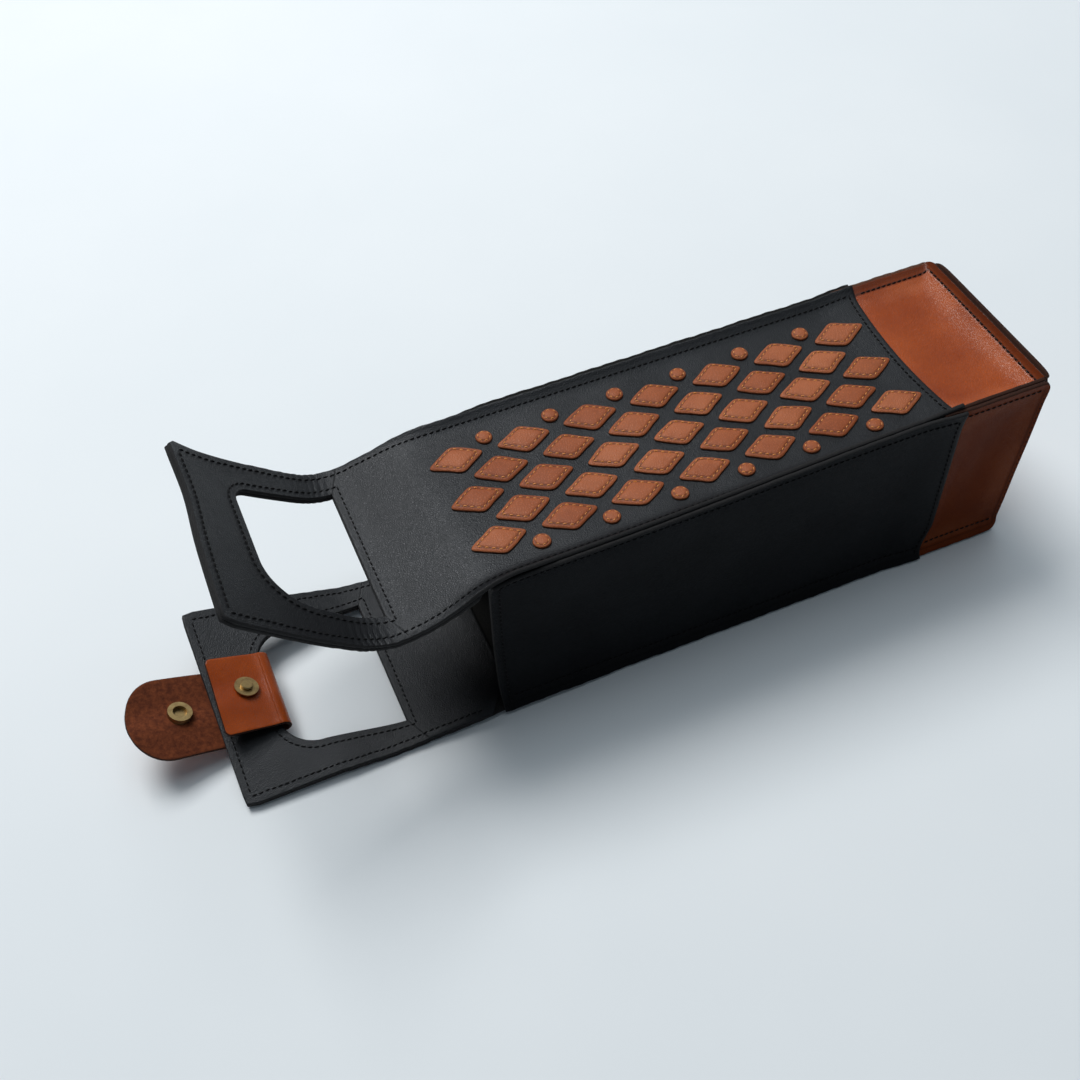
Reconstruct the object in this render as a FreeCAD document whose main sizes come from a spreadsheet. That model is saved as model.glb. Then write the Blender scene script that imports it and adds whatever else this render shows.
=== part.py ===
"""Leather bottle carrier, lying on its back panel as it is put down on a table.

Four black leather panels, four brown foot bands and a brown base are sewn into a square tube with
every seam turned outwards, so that a raw-edged fin runs along each edge.  Past the mouth of the tube
the front and back panels run on as lined tongues, each with a lined U-shaped handle sewn to its end.
A brown grip wrap is sewn round the bar of the back handle: one flap sticks out past the handle's end,
the other comes up through the hand hole, and a press stud joins them.

Frame: +X points to the foot, +Y across, +Z up from the table.  The origin lies on the table under the
middle of the overall box.  Stations are measured from the foot end towards the handles, in millimetres.
"""
import FreeCAD, Part
import Sketcher
import math
import os

doc = FreeCAD.newDocument("bottle_carrier")
sheet = doc.addObject("Spreadsheet::Sheet", "Sizes")

# Driving sizes, in millimetres and degrees
DRIVING = {
    "leather": 1.8,
    "hollow": 86.0,
    "fin_rise": 5.5,
    "foot_height": 49.0,
    "lap": 6.0,
    "side_length": 270.0,
    "panel_length": 314.0,
    "front_dip": 8.0,
    "handle_length": 80.0,
    "handle_width": 97.0,
    "handle_corner": 3.0,
    "window_width": 72.0,
    "window_corner": 20.0,
    "bar_width": 28.0,
    "front_rise": 39.0,
    "back_rise": 6.5,
    "hinge_gap": 0.3,
    "fit_gap": 1.0,
    "hem_width": 12.0,
    "board_thickness": 3.0,
    "wrap_leather": 1.8,
    "wrap_width": 40.0,
    "outer_flap_length": 43.0,
    "outer_flap_corner": 19.0,
    "inner_flap_length": 27.0,
    "inner_flap_corner": 5.0,
    "inner_flap_lift": 2.5,
    "flap_rise": 16.0,
    "snap_place": 15.0,
    "snap_radius": 5.5,
    "snap_plate": 0.7,
    "snap_cap_radius": 6.2,
    "snap_cap_height": 1.4,
    "snap_cap_edge": 0.6,
    "socket_height": 3.0,
    "socket_bore": 3.2,
    "knob_radius": 2.8,
    "knob_height": 2.4,
    "shank_radius": 1.5,
    "snap_gap": 0.3,
    "patch_leather": 1.3,
    "patch_start": 66.0,
    "patch_rows": 13,
    "row_pitch": 16.0,
    "patch_length": 27.0,
    "patch_width": 17.0,
    "column_pitch": 25.0,
    "disc_radius": 3.8,
    "disc_place": 33.0,
}

# Sizes that follow from the driving ones
DERIVED = {
    "inner_half": "hollow / 2",
    "axis_height": "inner_half + fin_rise",
    "top_inside": "axis_height + inner_half",
    "handle_end": "panel_length + handle_length",
    "hinge_station": "panel_length + leather + hinge_gap",
    "hinge_reach": "handle_end - hinge_station",
    "front_hinge_height": "top_inside - front_dip",
    "back_hinge_height": "fin_rise",
    "window_end": "handle_end - bar_width",
    "wrap_top": "fin_rise - leather",
    "wrap_low": "wrap_top - wrap_leather",
    "bend_radius": "leather + inner_flap_lift / 2",
    "bend_height": "wrap_top + bend_radius",
    "bend_station": "window_end - hinge_gap",
    "inner_flap_station": "bend_station + wrap_leather / 2 + hinge_gap",
    "inner_flap_height": "bend_height + bend_radius + wrap_leather / 2",
    "closed_height": "inner_flap_height + wrap_leather + socket_height + snap_gap",
    "outer_flap_station": "handle_end + hinge_gap",
    "outer_flap_height": "(closed_height + wrap_low + wrap_leather / 2) / 2",
    "outer_flap_drop": "outer_flap_height - wrap_top",
    "wrap_end": "handle_end + outer_flap_drop * sin(flap_rise * 1deg)",
    "snap_back": "outer_flap_station - snap_place - inner_flap_station",
    "flap_slope": "(back_rise + flap_rise) * 1deg",
    "overall_length": "hinge_station + (outer_flap_station - hinge_station) * cos(back_rise * 1deg)"
                      " - (outer_flap_height - back_hinge_height) * sin(back_rise * 1deg)"
                      " + outer_flap_length * cos(flap_slope)"
                      " + (outer_flap_drop + wrap_leather) * sin(flap_slope)",
    "foot_place": "overall_length / 2",
}

row = 0
for alias, value in DRIVING.items():
    row += 1
    sheet.set(f"A{row}", alias)
    sheet.set(f"B{row}", str(value))
    sheet.setAlias(f"B{row}", alias)
for alias, formula in DERIVED.items():
    row += 1
    sheet.set(f"A{row}", alias)
    sheet.set(f"B{row}", "=" + formula)
    sheet.setAlias(f"B{row}", alias)
doc.recompute()

ALIASES = set(DRIVING) | set(DERIVED)
ALONG_Y = FreeCAD.Rotation(FreeCAD.Vector(1, 0, 0), -90)
SUBPARTS = []


def size(alias):
    """Current value of one cell of the sheet."""
    return float(sheet.get(alias))


def bound(words):
    """An expression in the sheet's names, with each name led by the sheet's own name."""
    out = []
    word = ""
    for letter in str(words) + " ":
        if letter.isalnum() or letter == "_":
            word += letter
            continue
        out.append("Sizes." + word if word in ALIASES else word)
        out.append(letter)
        word = ""
    return "".join(out).strip()


def bind(thing, **sizes):
    """Bind properties of a document object to expressions in the sheet's names."""
    for prop, words in sizes.items():
        thing.setExpression(prop, bound(words))


def place(thing, x="0", y="0", z="0", turn=None):
    """Put an object at bound coordinates, with a fixed turn."""
    thing.Placement = FreeCAD.Placement(FreeCAD.Vector(), turn or FreeCAD.Rotation())
    for axis, words in zip("xyz", (x, y, z)):
        thing.setExpression(f"Placement.Base.{axis}", bound(words))


def tilt(thing, degrees):
    """Turn an object about the Y axis by a bound angle; what points along -X rises."""
    thing.Placement.Rotation = FreeCAD.Rotation(FreeCAD.Vector(0, 1, 0), 1)
    thing.setExpression("Placement.Rotation.Angle", bound(f"({degrees}) * 1deg"))


def subpart(thing, label):
    """Name one finished piece; the name is also its file's name."""
    thing.Label = label
    SUBPARTS.append(thing)
    return thing


def box(name, length, width, height, x, y, z):
    """A plate or block, from its lowest corner."""
    solid = doc.addObject("Part::Box", name)
    bind(solid, Length=length, Width=width, Height=height)
    place(solid, x, y, z)
    return solid


def cut(name, base, tool):
    solid = doc.addObject("Part::Cut", name)
    solid.Base = base
    solid.Tool = tool
    return solid


def fuse(name, *pieces):
    solid = doc.addObject("Part::MultiFuse", name)
    solid.Shapes = list(pieces)
    solid.Refine = True
    return solid


# Panels with turned-out edges
# A panel is a shallow pan: a flat web whose long edges turn out at 45 degrees to meet the next
# panel's edge face to face on the diagonal.  One layer of it lies between two offsets from the web's
# inner face, and each offset surface bounds a wedge that widens outwards.
ROOT_TWO = math.sqrt(2.0)


def pan_wedge(name, offset, start, end, flared, turn):
    """The space outside one offset surface of a panel between two stations."""
    wedge = doc.addObject("Part::Wedge", name)
    spread = f"({offset}) * {ROOT_TWO}"
    low_end = f"-({end}) + ({offset}) - {spread}" if flared else f"-({end})"
    high_end = f"-({end}) + fin_rise - {spread}" if flared else f"-({end})"
    bind(
        wedge,
        Xmin=f"-({start})",
        X2min=f"-({start})",
        Xmax=low_end,
        X2max=high_end,
        Ymin=f"inner_half + {offset}",
        Ymax="inner_half + fin_rise",
        Zmin=f"-(inner_half + {offset} - {spread})",
        Zmax=f"inner_half + {offset} - {spread}",
        Z2min=f"-(inner_half + fin_rise - {spread})",
        Z2max=f"inner_half + fin_rise - {spread}",
    )
    upright = FreeCAD.Rotation(FreeCAD.Vector(1, 0, 0), 90)
    around = FreeCAD.Rotation(FreeCAD.Vector(1, 0, 0), turn)
    place(wedge, "foot_place", "0", "axis_height", around.multiply(upright))
    return wedge


def pan(name, inside, outside, start, end, turn, flared=False):
    """One layer of a panel, from the station `start` (nearer the handles) to `end` (nearer the foot)."""
    whole = pan_wedge(name + "_whole", inside, start, end, flared, turn)
    space = pan_wedge(name + "_space", outside, start, end, flared, turn)
    return cut(name + "_layer", whole, space)


def side_profile(name, corners, width):
    """A sheet seen from the side: a polygon of bound corners in X and Z, padded both ways along Y."""
    body = doc.addObject("PartDesign::Body", name)
    sketch = polygon_sketch(body, "XZ_Plane", corners)
    pad = body.newObject("PartDesign::Pad", name + "_pad")
    pad.Profile = sketch
    pad.SideType = "Symmetric"
    bind(pad, Length=width)
    body.Tip = pad
    place(body, "foot_place")
    return body


def origin_feature(body, role):
    """A plane or axis of a body's own origin."""
    return [feature for feature in body.Origin.OriginFeatures if feature.Role == role][0]


def attached_sketch(body, role):
    sketch = body.newObject("Sketcher::SketchObject", body.Name + "_sketch")
    sketch.AttachmentSupport = [(origin_feature(body, role), "")]
    sketch.MapMode = "FlatFace"
    return sketch


def value_of(words):
    """The current value of an expression in the sheet's names, used as a sketch's first guess."""
    guess = doc.addObject("App::FeaturePython", "guess")
    guess.addProperty("App::PropertyFloat", "answer")
    guess.setExpression("answer", bound(words))
    guess.recompute()
    answer = guess.answer
    doc.removeObject(guess.Name)
    return answer


def polygon_sketch(body, role, corners):
    """A closed polygon whose corners are bound to expressions in the sheet's names."""
    sketch = attached_sketch(body, role)
    points = [FreeCAD.Vector(value_of(x), value_of(y), 0) for x, y in corners]
    count = len(points)
    for i in range(count):
        sketch.addGeometry(Part.LineSegment(points[i], points[(i + 1) % count]))
    for i in range(count):
        sketch.addConstraint(Sketcher.Constraint("Coincident", i, 2, (i + 1) % count, 1))
    for i, (x, y) in enumerate(corners):
        for kind, words, value in (("DistanceX", x, points[i].x), ("DistanceY", y, points[i].y)):
            spot = sketch.addConstraint(Sketcher.Constraint(kind, -1, 1, i, 1, value))
            sketch.setExpression(f"Constraints[{spot}]", bound(words))
    return sketch


# Black panels and brown foot bands
# The two leathers meet in a skived lap: the brown keeps the inner half of the thickness and the
# black the outer half.  The foot bands also turn out round the base.
TURNS = {"front": 0, "far": -90, "back": 180, "near": 90}
LAP_END = "foot_height + lap"
panels = {}
for side, turn in TURNS.items():
    black = [
        pan(side + "_web", "0", "leather", "side_length", LAP_END, turn),
        pan(side + "_over", "leather / 2", "leather", LAP_END, "foot_height", turn),
    ]
    brown = [
        pan(side + "_band", "0", "leather", "foot_height", "fin_rise", turn, flared=True),
        pan(side + "_under", "0", "leather / 2", LAP_END, "foot_height", turn),
    ]
    panels[side] = black
    subpart(fuse(side + "_foot", *brown), side + "_foot_band")
for side in ("near", "far"):
    subpart(fuse(side + "_panel_all", *panels[side]), side + "_side_panel")

# Tongues of the front and back panels, and their linings
# The front tongue sags towards its end; the back one lies in the plane of its panel.
LINING_START = "side_length + hinge_gap"
SAG = "front_dip / (panel_length - side_length)"
FRONT_TONGUE = [
    ("-side_length", "top_inside"),
    ("-side_length", "top_inside + leather"),
    ("-panel_length", "top_inside + leather - front_dip"),
    ("-panel_length", "top_inside - front_dip"),
]
FRONT_LINING = [
    (f"-({LINING_START})", f"top_inside - hinge_gap * {SAG}"),
    (f"-({LINING_START})", f"top_inside - hinge_gap * {SAG} - leather"),
    ("-panel_length", "top_inside - front_dip - leather"),
    ("-panel_length", "top_inside - front_dip"),
]
BACK_TONGUE = [
    ("-side_length", "fin_rise"),
    ("-side_length", "fin_rise - leather"),
    ("-panel_length", "fin_rise - leather"),
    ("-panel_length", "fin_rise"),
]
BACK_LINING = [
    (f"-({LINING_START})", "fin_rise"),
    (f"-({LINING_START})", "fin_rise + leather"),
    ("-panel_length", "fin_rise + leather"),
    ("-panel_length", "fin_rise"),
]
for side, tongue, lining in (("front", FRONT_TONGUE, FRONT_LINING), ("back", BACK_TONGUE, BACK_LINING)):
    run_on = side_profile(side + "_tongue", tongue, "handle_width")
    subpart(fuse(side + "_panel_all", run_on, *panels[side]), side + "_panel")
    subpart(side_profile(side + "_lining", lining, "handle_width"), side + "_tongue_lining")

# Turned hems inside the mouth edges of the two sides
HEM_HEIGHT = "hollow - 2 * fit_gap"
HEM_PLACES = {"near": "-inner_half", "far": "inner_half - leather"}
for side, across in HEM_PLACES.items():
    hem = box(side + "_hem", "hem_width", "leather", HEM_HEIGHT,
              "foot_place - side_length", across, "fin_rise + fit_gap")
    subpart(hem, side + "_mouth_hem")


# Base
# A square of brown leather, turned out all round to meet the foot bands, with a stiff board inside.
def base_wedge(name, offset):
    """The space outside one offset surface of the base, widening towards the foot end."""
    wedge = doc.addObject("Part::Wedge", name)
    spread = f"({offset}) * {ROOT_TWO}"
    low = f"inner_half + {offset} - {spread}"
    high = f"inner_half + fin_rise - {spread}"
    bind(
        wedge,
        Ymin=f"-fin_rise + {offset}",
        Ymax="0",
        Xmin=f"-({low})",
        Xmax=low,
        Zmin=f"-({low})",
        Zmax=low,
        X2min=f"-({high})",
        X2max=high,
        Z2min=f"-({high})",
        Z2max=high,
    )
    facing_foot = FreeCAD.Rotation(FreeCAD.Vector(0, 0, 1), -90)
    place(wedge, "foot_place", "0", "axis_height", facing_foot)
    return wedge


subpart(cut("base", base_wedge("base_whole", "0"), base_wedge("base_space", "leather")), "base_panel")
BOARD_SIDE = "hollow - 2 * fit_gap"
board = box("board", "board_thickness", BOARD_SIDE, BOARD_SIDE,
            "foot_place - fin_rise - board_thickness", "fit_gap - inner_half", "fin_rise + fit_gap")
subpart(board, "base_board")


# Handles
# Each handle is two U-shaped layers sewn face to face.  The ends of its legs are rounded about the
# line where they bend, which is where the tongue ends.
def rounded_root_sketch(body, reach, thickness, layer):
    """Side view of a sheet that reaches along -X from a root rounded about the Y axis.

    `layer` is "upper", "lower" or "both", for a sheet above, below or on both sides of the axis.
    """
    sketch = attached_sketch(body, "XZ_Plane")
    far = value_of(reach)
    round_off = value_of(thickness)
    low = {"upper": 0.0, "lower": -round_off, "both": -round_off}[layer]
    high = {"upper": round_off, "lower": 0.0, "both": round_off}[layer]
    start = {"upper": 0.0, "lower": -math.pi / 2, "both": -math.pi / 2}[layer]
    stop = {"upper": math.pi / 2, "lower": 0.0, "both": math.pi / 2}[layer]
    nose = Part.Circle(FreeCAD.Vector(), FreeCAD.Vector(0, 0, 1), round_off)
    corner = FreeCAD.Vector
    arc = sketch.addGeometry(Part.ArcOfCircle(nose, start, stop))
    first = corner(round_off * math.cos(start), round_off * math.sin(start), 0)
    last = corner(round_off * math.cos(stop), round_off * math.sin(stop), 0)
    top = sketch.addGeometry(Part.LineSegment(last, corner(-far, high, 0)))
    end = sketch.addGeometry(Part.LineSegment(corner(-far, high, 0), corner(-far, low, 0)))
    bottom = sketch.addGeometry(Part.LineSegment(corner(-far, low, 0), first))
    rules = [
        ("Coincident", arc, 3, -1, 1),
        ("Coincident", arc, 2, top, 1),
        ("Coincident", top, 2, end, 1),
        ("Coincident", end, 2, bottom, 1),
        ("Coincident", bottom, 2, arc, 1),
        ("Horizontal", top),
        ("Horizontal", bottom),
        ("Vertical", end),
        ("PointOnObject", arc, 1, -1 if layer == "upper" else -2),
        ("PointOnObject", arc, 2, -1 if layer == "lower" else -2),
    ]
    for rule in rules:
        sketch.addConstraint(Sketcher.Constraint(*rule))
    round_rule = sketch.addConstraint(Sketcher.Constraint("Radius", arc, round_off))
    sketch.setExpression(f"Constraints[{round_rule}]", bound(thickness))
    reach_rule = sketch.addConstraint(Sketcher.Constraint("DistanceX", -1, 1, end, 1, -far))
    sketch.setExpression(f"Constraints[{reach_rule}]", bound(f"-({reach})"))
    return sketch


def rooted_sheet(name, reach, thickness, layer, width):
    """A sheet padded from that side view."""
    body = doc.addObject("PartDesign::Body", name)
    pad = body.newObject("PartDesign::Pad", name + "_pad")
    pad.Profile = rounded_root_sketch(body, reach, thickness, layer)
    pad.SideType = "Symmetric"
    bind(pad, Length=width)
    body.Tip = pad
    return body


SAME_SPOT = 0.05


def upright_edges(feature, spots):
    """Names of a feature's straight edges across the sheet at the given X and Y spots."""
    names = []
    for number, edge in enumerate(feature.Shape.Edges, 1):
        ends = [vertex.Point for vertex in edge.Vertexes]
        if len(ends) != 2 or abs(ends[0].z - ends[1].z) < SAME_SPOT:
            continue
        for x, y in spots:
            if max(math.hypot(end.x - x, end.y - y) for end in ends) < SAME_SPOT:
                names.append(f"Edge{number}")
    return names


def round_corners(body, spots, radius):
    """Round the corners of a sheet's outline at the given spots."""
    doc.recompute()
    base = body.Tip
    fillet = body.newObject("PartDesign::Fillet", base.Name + "_round")
    fillet.Base = (base, upright_edges(base, spots))
    bind(fillet, Radius=radius)
    body.Tip = fillet


def handle_layer(name, layer):
    """One U-shaped layer, with its hinge line on the Y axis and its bar towards -X."""
    body = rooted_sheet(name, "hinge_reach", "leather", layer, "handle_width")
    hole = "window_end - hinge_station"
    window = polygon_sketch(body, "XY_Plane", [
        ("2 * leather", "-window_width / 2"),
        ("2 * leather", "window_width / 2"),
        (f"-({hole})", "window_width / 2"),
        (f"-({hole})", "-window_width / 2"),
    ])
    pocket = body.newObject("PartDesign::Pocket", name + "_window")
    pocket.Profile = window
    pocket.Type = "ThroughAll"
    pocket.SideType = "Symmetric"
    body.Tip = pocket
    half = size("window_width") / 2
    round_corners(body, [(-value_of(hole), half), (-value_of(hole), -half)], "window_corner")
    half = size("handle_width") / 2
    reach = size("hinge_reach")
    round_corners(body, [(-reach, half), (-reach, -half)], "handle_corner")
    return body


HANDLES = [
    ("front", "upper", "outer", "front_hinge_height", "front_rise"),
    ("front", "lower", "lining", "front_hinge_height", "front_rise"),
    ("back", "lower", "outer", "back_hinge_height", "back_rise"),
    ("back", "upper", "lining", "back_hinge_height", "back_rise"),
]
for side, layer, role, height, rise in HANDLES:
    sheet_layer = handle_layer(f"{side}_{role}_layer", layer)
    place(sheet_layer, "foot_place - hinge_station", "0", height)
    tilt(sheet_layer, rise)
    subpart(sheet_layer, f"{side}_handle_{role}")


# Grip wrap on the back handle
# Places on the back handle are given as if it lay flat on its hinge line, and then swung up with it.
# The strap lies under the bar, where it is sewn, and bends up round the bar's inner edge.
HINGE_X = "(foot_place - hinge_station)"


def swung(x, z):
    """Bound X and Z of a spot on the flat back handle, after the handle has swung up."""
    along = f"(({x}) - {HINGE_X})"
    up = f"(({z}) - back_hinge_height)"
    turn = "back_rise * 1deg"
    return (f"{HINGE_X} + {along} * cos({turn}) + {up} * sin({turn})",
            f"back_hinge_height - {along} * sin({turn}) + {up} * cos({turn})")


def place_swung(thing, x, z, degrees):
    """Put an object at a spot of the back handle, turned by the handle's rise and its own."""
    x, z = swung(x, z)
    place(thing, x, "0", z)
    tilt(thing, f"back_rise + {degrees}")


def half_bend(name, radius):
    """Half a drum about the line that the strap bends round, on the foot's side of it."""
    drum = doc.addObject("Part::Cylinder", name)
    bind(drum, Radius=radius, Height="wrap_width")
    drum.Angle = 180
    half_turn = FreeCAD.Rotation(FreeCAD.Vector(0, 0, 1), -90)
    place(drum, "foot_place - bend_station", "-wrap_width / 2", "bend_height", ALONG_Y.multiply(half_turn))
    return drum


under_run = box("under_run", "wrap_end - bend_station", "wrap_width", "wrap_leather",
                "foot_place - wrap_end", "-wrap_width / 2", "wrap_low")
bend = cut("bend", half_bend("bend_outside", "bend_radius + wrap_leather"),
           half_bend("bend_inside", "bend_radius"))
wrap = fuse("wrap", under_run, bend)
place_swung(wrap, "0", "0", "0")
subpart(wrap, "grip_wrap")


# Flaps of the wrap
def drill(body, place_along):
    """A hole for the shank of a press stud through a flap."""
    sketch = attached_sketch(body, "XY_Plane")
    spot = FreeCAD.Vector(-value_of(place_along), 0, 0)
    rim = Part.Circle(spot, FreeCAD.Vector(0, 0, 1), size("shank_radius"))
    ring = sketch.addGeometry(rim)
    sketch.addConstraint(Sketcher.Constraint("PointOnObject", ring, 3, -1))
    width_rule = sketch.addConstraint(Sketcher.Constraint("Radius", ring, size("shank_radius")))
    sketch.setExpression(f"Constraints[{width_rule}]", bound("shank_radius"))
    spot_rule = sketch.addConstraint(Sketcher.Constraint("DistanceX", -1, 1, ring, 3, spot.x))
    sketch.setExpression(f"Constraints[{spot_rule}]", bound(f"-({place_along})"))
    pocket = body.newObject("PartDesign::Pocket", body.Name + "_hole")
    pocket.Profile = sketch
    pocket.Type = "ThroughAll"
    pocket.SideType = "Symmetric"
    body.Tip = pocket


# The inner flap comes up through the hand hole and stands off the bar by its own spring.
inner_flap = rooted_sheet("inner_flap", "inner_flap_length", "wrap_leather / 2", "both", "wrap_width")
tip = -size("inner_flap_length")
edge = size("wrap_width") / 2
round_corners(inner_flap, [(tip, edge), (tip, -edge)], "inner_flap_corner")
drill(inner_flap, "snap_back")
place_swung(inner_flap, "foot_place - inner_flap_station", "inner_flap_height", "flap_rise")
subpart(inner_flap, "wrap_inner_flap")

# The outer flap sticks out past the handle's end and swings over it about the middle of the stack.
outer_flap = doc.addObject("PartDesign::Body", "outer_flap")
outer_pad = outer_flap.newObject("PartDesign::Pad", "outer_flap_pad")
outer_pad.Profile = polygon_sketch(outer_flap, "XZ_Plane", [
    ("0", "-outer_flap_drop"),
    ("0", "-outer_flap_drop - wrap_leather"),
    ("-outer_flap_length", "-outer_flap_drop - wrap_leather"),
    ("-outer_flap_length", "-outer_flap_drop"),
])
outer_pad.SideType = "Symmetric"
bind(outer_pad, Length="wrap_width")
outer_flap.Tip = outer_pad
tip = -size("outer_flap_length")
round_corners(outer_flap, [(tip, edge), (tip, -edge)], "outer_flap_corner")
drill(outer_flap, "snap_place")
place_swung(outer_flap, "foot_place - outer_flap_station", "outer_flap_height", "flap_rise")
subpart(outer_flap, "wrap_outer_flap")


# Press stud
# A cap and a socket are riveted through the outer flap, a stud and its post through the inner one.
def turned(name, corners, along, station, height):
    """A piece turned about its upright axis from a half section, placed on a flap."""
    body = doc.addObject("PartDesign::Body", name)
    turning = body.newObject("PartDesign::Revolution", name + "_turned")
    turning.Profile = polygon_sketch(body, "XZ_Plane", corners)
    turning.ReferenceAxis = (origin_feature(body, "Z_Axis"), [""])
    turning.Angle = 360
    body.Tip = turning
    slope = "flap_rise * 1deg"
    place_swung(body, f"foot_place - {station} - ({along}) * cos({slope})",
                f"{height} + ({along}) * sin({slope})", "flap_rise")
    return body


OUTER_FLOOR = "-outer_flap_drop - wrap_leather"
OUTER_TOP = "-outer_flap_drop"
subpart(turned("cap", [
    ("0", OUTER_FLOOR + " - snap_cap_height"),
    ("snap_cap_radius - snap_cap_edge", OUTER_FLOOR + " - snap_cap_height"),
    ("snap_cap_radius", OUTER_FLOOR + " - snap_cap_height + snap_cap_edge"),
    ("snap_cap_radius", OUTER_FLOOR),
    ("shank_radius", OUTER_FLOOR),
    ("shank_radius", OUTER_TOP),
    ("0", OUTER_TOP),
], "snap_place", "outer_flap_station", "outer_flap_height"), "snap_cap")
subpart(turned("socket", [
    ("0", OUTER_TOP),
    ("snap_radius", OUTER_TOP),
    ("snap_radius", OUTER_TOP + " + socket_height"),
    ("socket_bore", OUTER_TOP + " + socket_height"),
    ("socket_bore", OUTER_TOP + " + snap_plate"),
    ("0", OUTER_TOP + " + snap_plate"),
], "snap_place", "outer_flap_station", "outer_flap_height"), "snap_socket")
INNER_TOP = "wrap_leather / 2"
subpart(turned("stud", [
    ("0", INNER_TOP),
    ("snap_radius", INNER_TOP),
    ("snap_radius", INNER_TOP + " + snap_plate"),
    ("knob_radius", INNER_TOP + " + snap_plate"),
    ("knob_radius", INNER_TOP + " + knob_height - snap_plate / 2"),
    ("knob_radius - snap_plate / 2", INNER_TOP + " + knob_height"),
    ("0", INNER_TOP + " + knob_height"),
], "snap_back", "inner_flap_station", "inner_flap_height"), "snap_stud")
INNER_FLOOR = "-wrap_leather / 2"
subpart(turned("post", [
    ("0", INNER_FLOOR + " - snap_plate"),
    ("snap_radius", INNER_FLOOR + " - snap_plate"),
    ("snap_radius", INNER_FLOOR),
    ("shank_radius", INNER_FLOOR),
    ("shank_radius", INNER_TOP),
    ("0", INNER_TOP),
], "snap_back", "inner_flap_station", "inner_flap_height"), "snap_post")


# Patches sewn on the front panel
# Rows of three and of two lozenges alternate; the rows of two end in small discs.
def patch_rows():
    """Station of each row and whether it is one of the rows of two."""
    for number in range(int(size("patch_rows"))):
        yield size("patch_start") + number * size("row_pitch"), number % 2 == 1


def lozenge(x, y, z):
    """A flat lozenge with its long axis along the carrier."""
    long_half = size("patch_length") / 2
    short_half = size("patch_width") / 2
    outline = [(x - long_half, y), (x, y - short_half), (x + long_half, y), (x, y + short_half)]
    wire = Part.makePolygon([FreeCAD.Vector(a, b, z) for a, b in outline + outline[:1]])
    return Part.Face(wire).extrude(FreeCAD.Vector(0, 0, size("patch_leather")))


patch_floor = size("top_inside") + size("leather")
lozenges = []
discs = []
for station, row_of_two in patch_rows():
    x = size("foot_place") - station
    columns = (-0.5, 0.5) if row_of_two else (-1, 0, 1)
    lozenges += [lozenge(x, column * size("column_pitch"), patch_floor) for column in columns]
    if not row_of_two:
        continue
    for hand in (-1, 1):
        centre = FreeCAD.Vector(x, hand * size("disc_place"), patch_floor)
        discs.append(Part.makeCylinder(size("disc_radius"), size("patch_leather"), centre))
for label, shapes in (("patch_lozenges", lozenges), ("patch_discs", discs)):
    group = doc.addObject("Part::Feature", label)
    group.Shape = Part.makeCompound(shapes)
    subpart(group, label)

# Rebuild, check and write every piece
doc.recompute()
failed = [thing.Name for thing in doc.Objects if {"Invalid", "Error"} & set(thing.State)]
for thing in SUBPARTS:
    if thing.Shape.isNull() or not thing.Shape.isValid() or not thing.Shape.Solids:
        failed.append(thing.Label)
if failed:
    raise RuntimeError("failed pieces: " + ", ".join(failed))
os.makedirs("parts", exist_ok=True)
for thing in SUBPARTS:
    thing.Shape.exportStep(f"parts/{thing.Label}.step")
for alias in DERIVED:
    print(alias, round(size(alias), 4))
print(len(SUBPARTS), "pieces written")
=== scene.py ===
"""Looks of a leather bottle carrier that lies on its back panel.

The pieces are built as a bag maker would put them together: base, foot, walls, tongues, handles, grip wrap,
patches, then the threads.  Lengths are in millimetres until a mesh is made.  On a piece of leather, l runs
along it from its foot edge and q across it from its middle line, both measured on the leather.
"""
import bpy
import math
import numpy as np
from mathutils import Matrix, Vector


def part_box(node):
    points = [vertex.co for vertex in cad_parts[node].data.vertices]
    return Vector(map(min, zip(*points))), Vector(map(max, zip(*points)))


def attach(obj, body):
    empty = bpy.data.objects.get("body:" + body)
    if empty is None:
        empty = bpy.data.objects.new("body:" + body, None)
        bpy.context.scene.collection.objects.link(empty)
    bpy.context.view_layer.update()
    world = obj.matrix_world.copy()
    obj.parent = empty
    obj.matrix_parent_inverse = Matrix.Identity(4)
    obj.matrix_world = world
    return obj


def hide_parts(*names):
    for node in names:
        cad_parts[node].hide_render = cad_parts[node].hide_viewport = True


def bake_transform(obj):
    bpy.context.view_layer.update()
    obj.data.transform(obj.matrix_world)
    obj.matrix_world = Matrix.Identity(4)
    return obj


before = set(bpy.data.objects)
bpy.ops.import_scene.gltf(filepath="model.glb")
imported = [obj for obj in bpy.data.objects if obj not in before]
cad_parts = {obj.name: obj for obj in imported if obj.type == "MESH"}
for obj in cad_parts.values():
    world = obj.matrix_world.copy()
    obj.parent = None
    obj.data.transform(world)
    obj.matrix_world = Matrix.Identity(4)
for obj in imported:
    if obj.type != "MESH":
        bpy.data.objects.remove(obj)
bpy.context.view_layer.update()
scene = bpy.context.scene

# Base board: a stiff square of bonded leather board that keeps the base flat.
# It lies loose inside the foot, against the base panel, and is cut square with raw edges.
BOARD_COLOUR = (0.23, 0.15, 0.085)
BOARD_FLECK = (0.11, 0.07, 0.04)


def wire(tree, node, values):
    """Fills a node's inputs, by label or place, from sockets, numbers or colours of three numbers."""
    for label, value in values.items():
        socket = node.inputs[label]
        if isinstance(value, tuple):
            socket.default_value = (*value, 1.0)
        elif isinstance(value, float):
            socket.default_value = value
        else:
            tree.links.new(value, socket)
    return node


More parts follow.
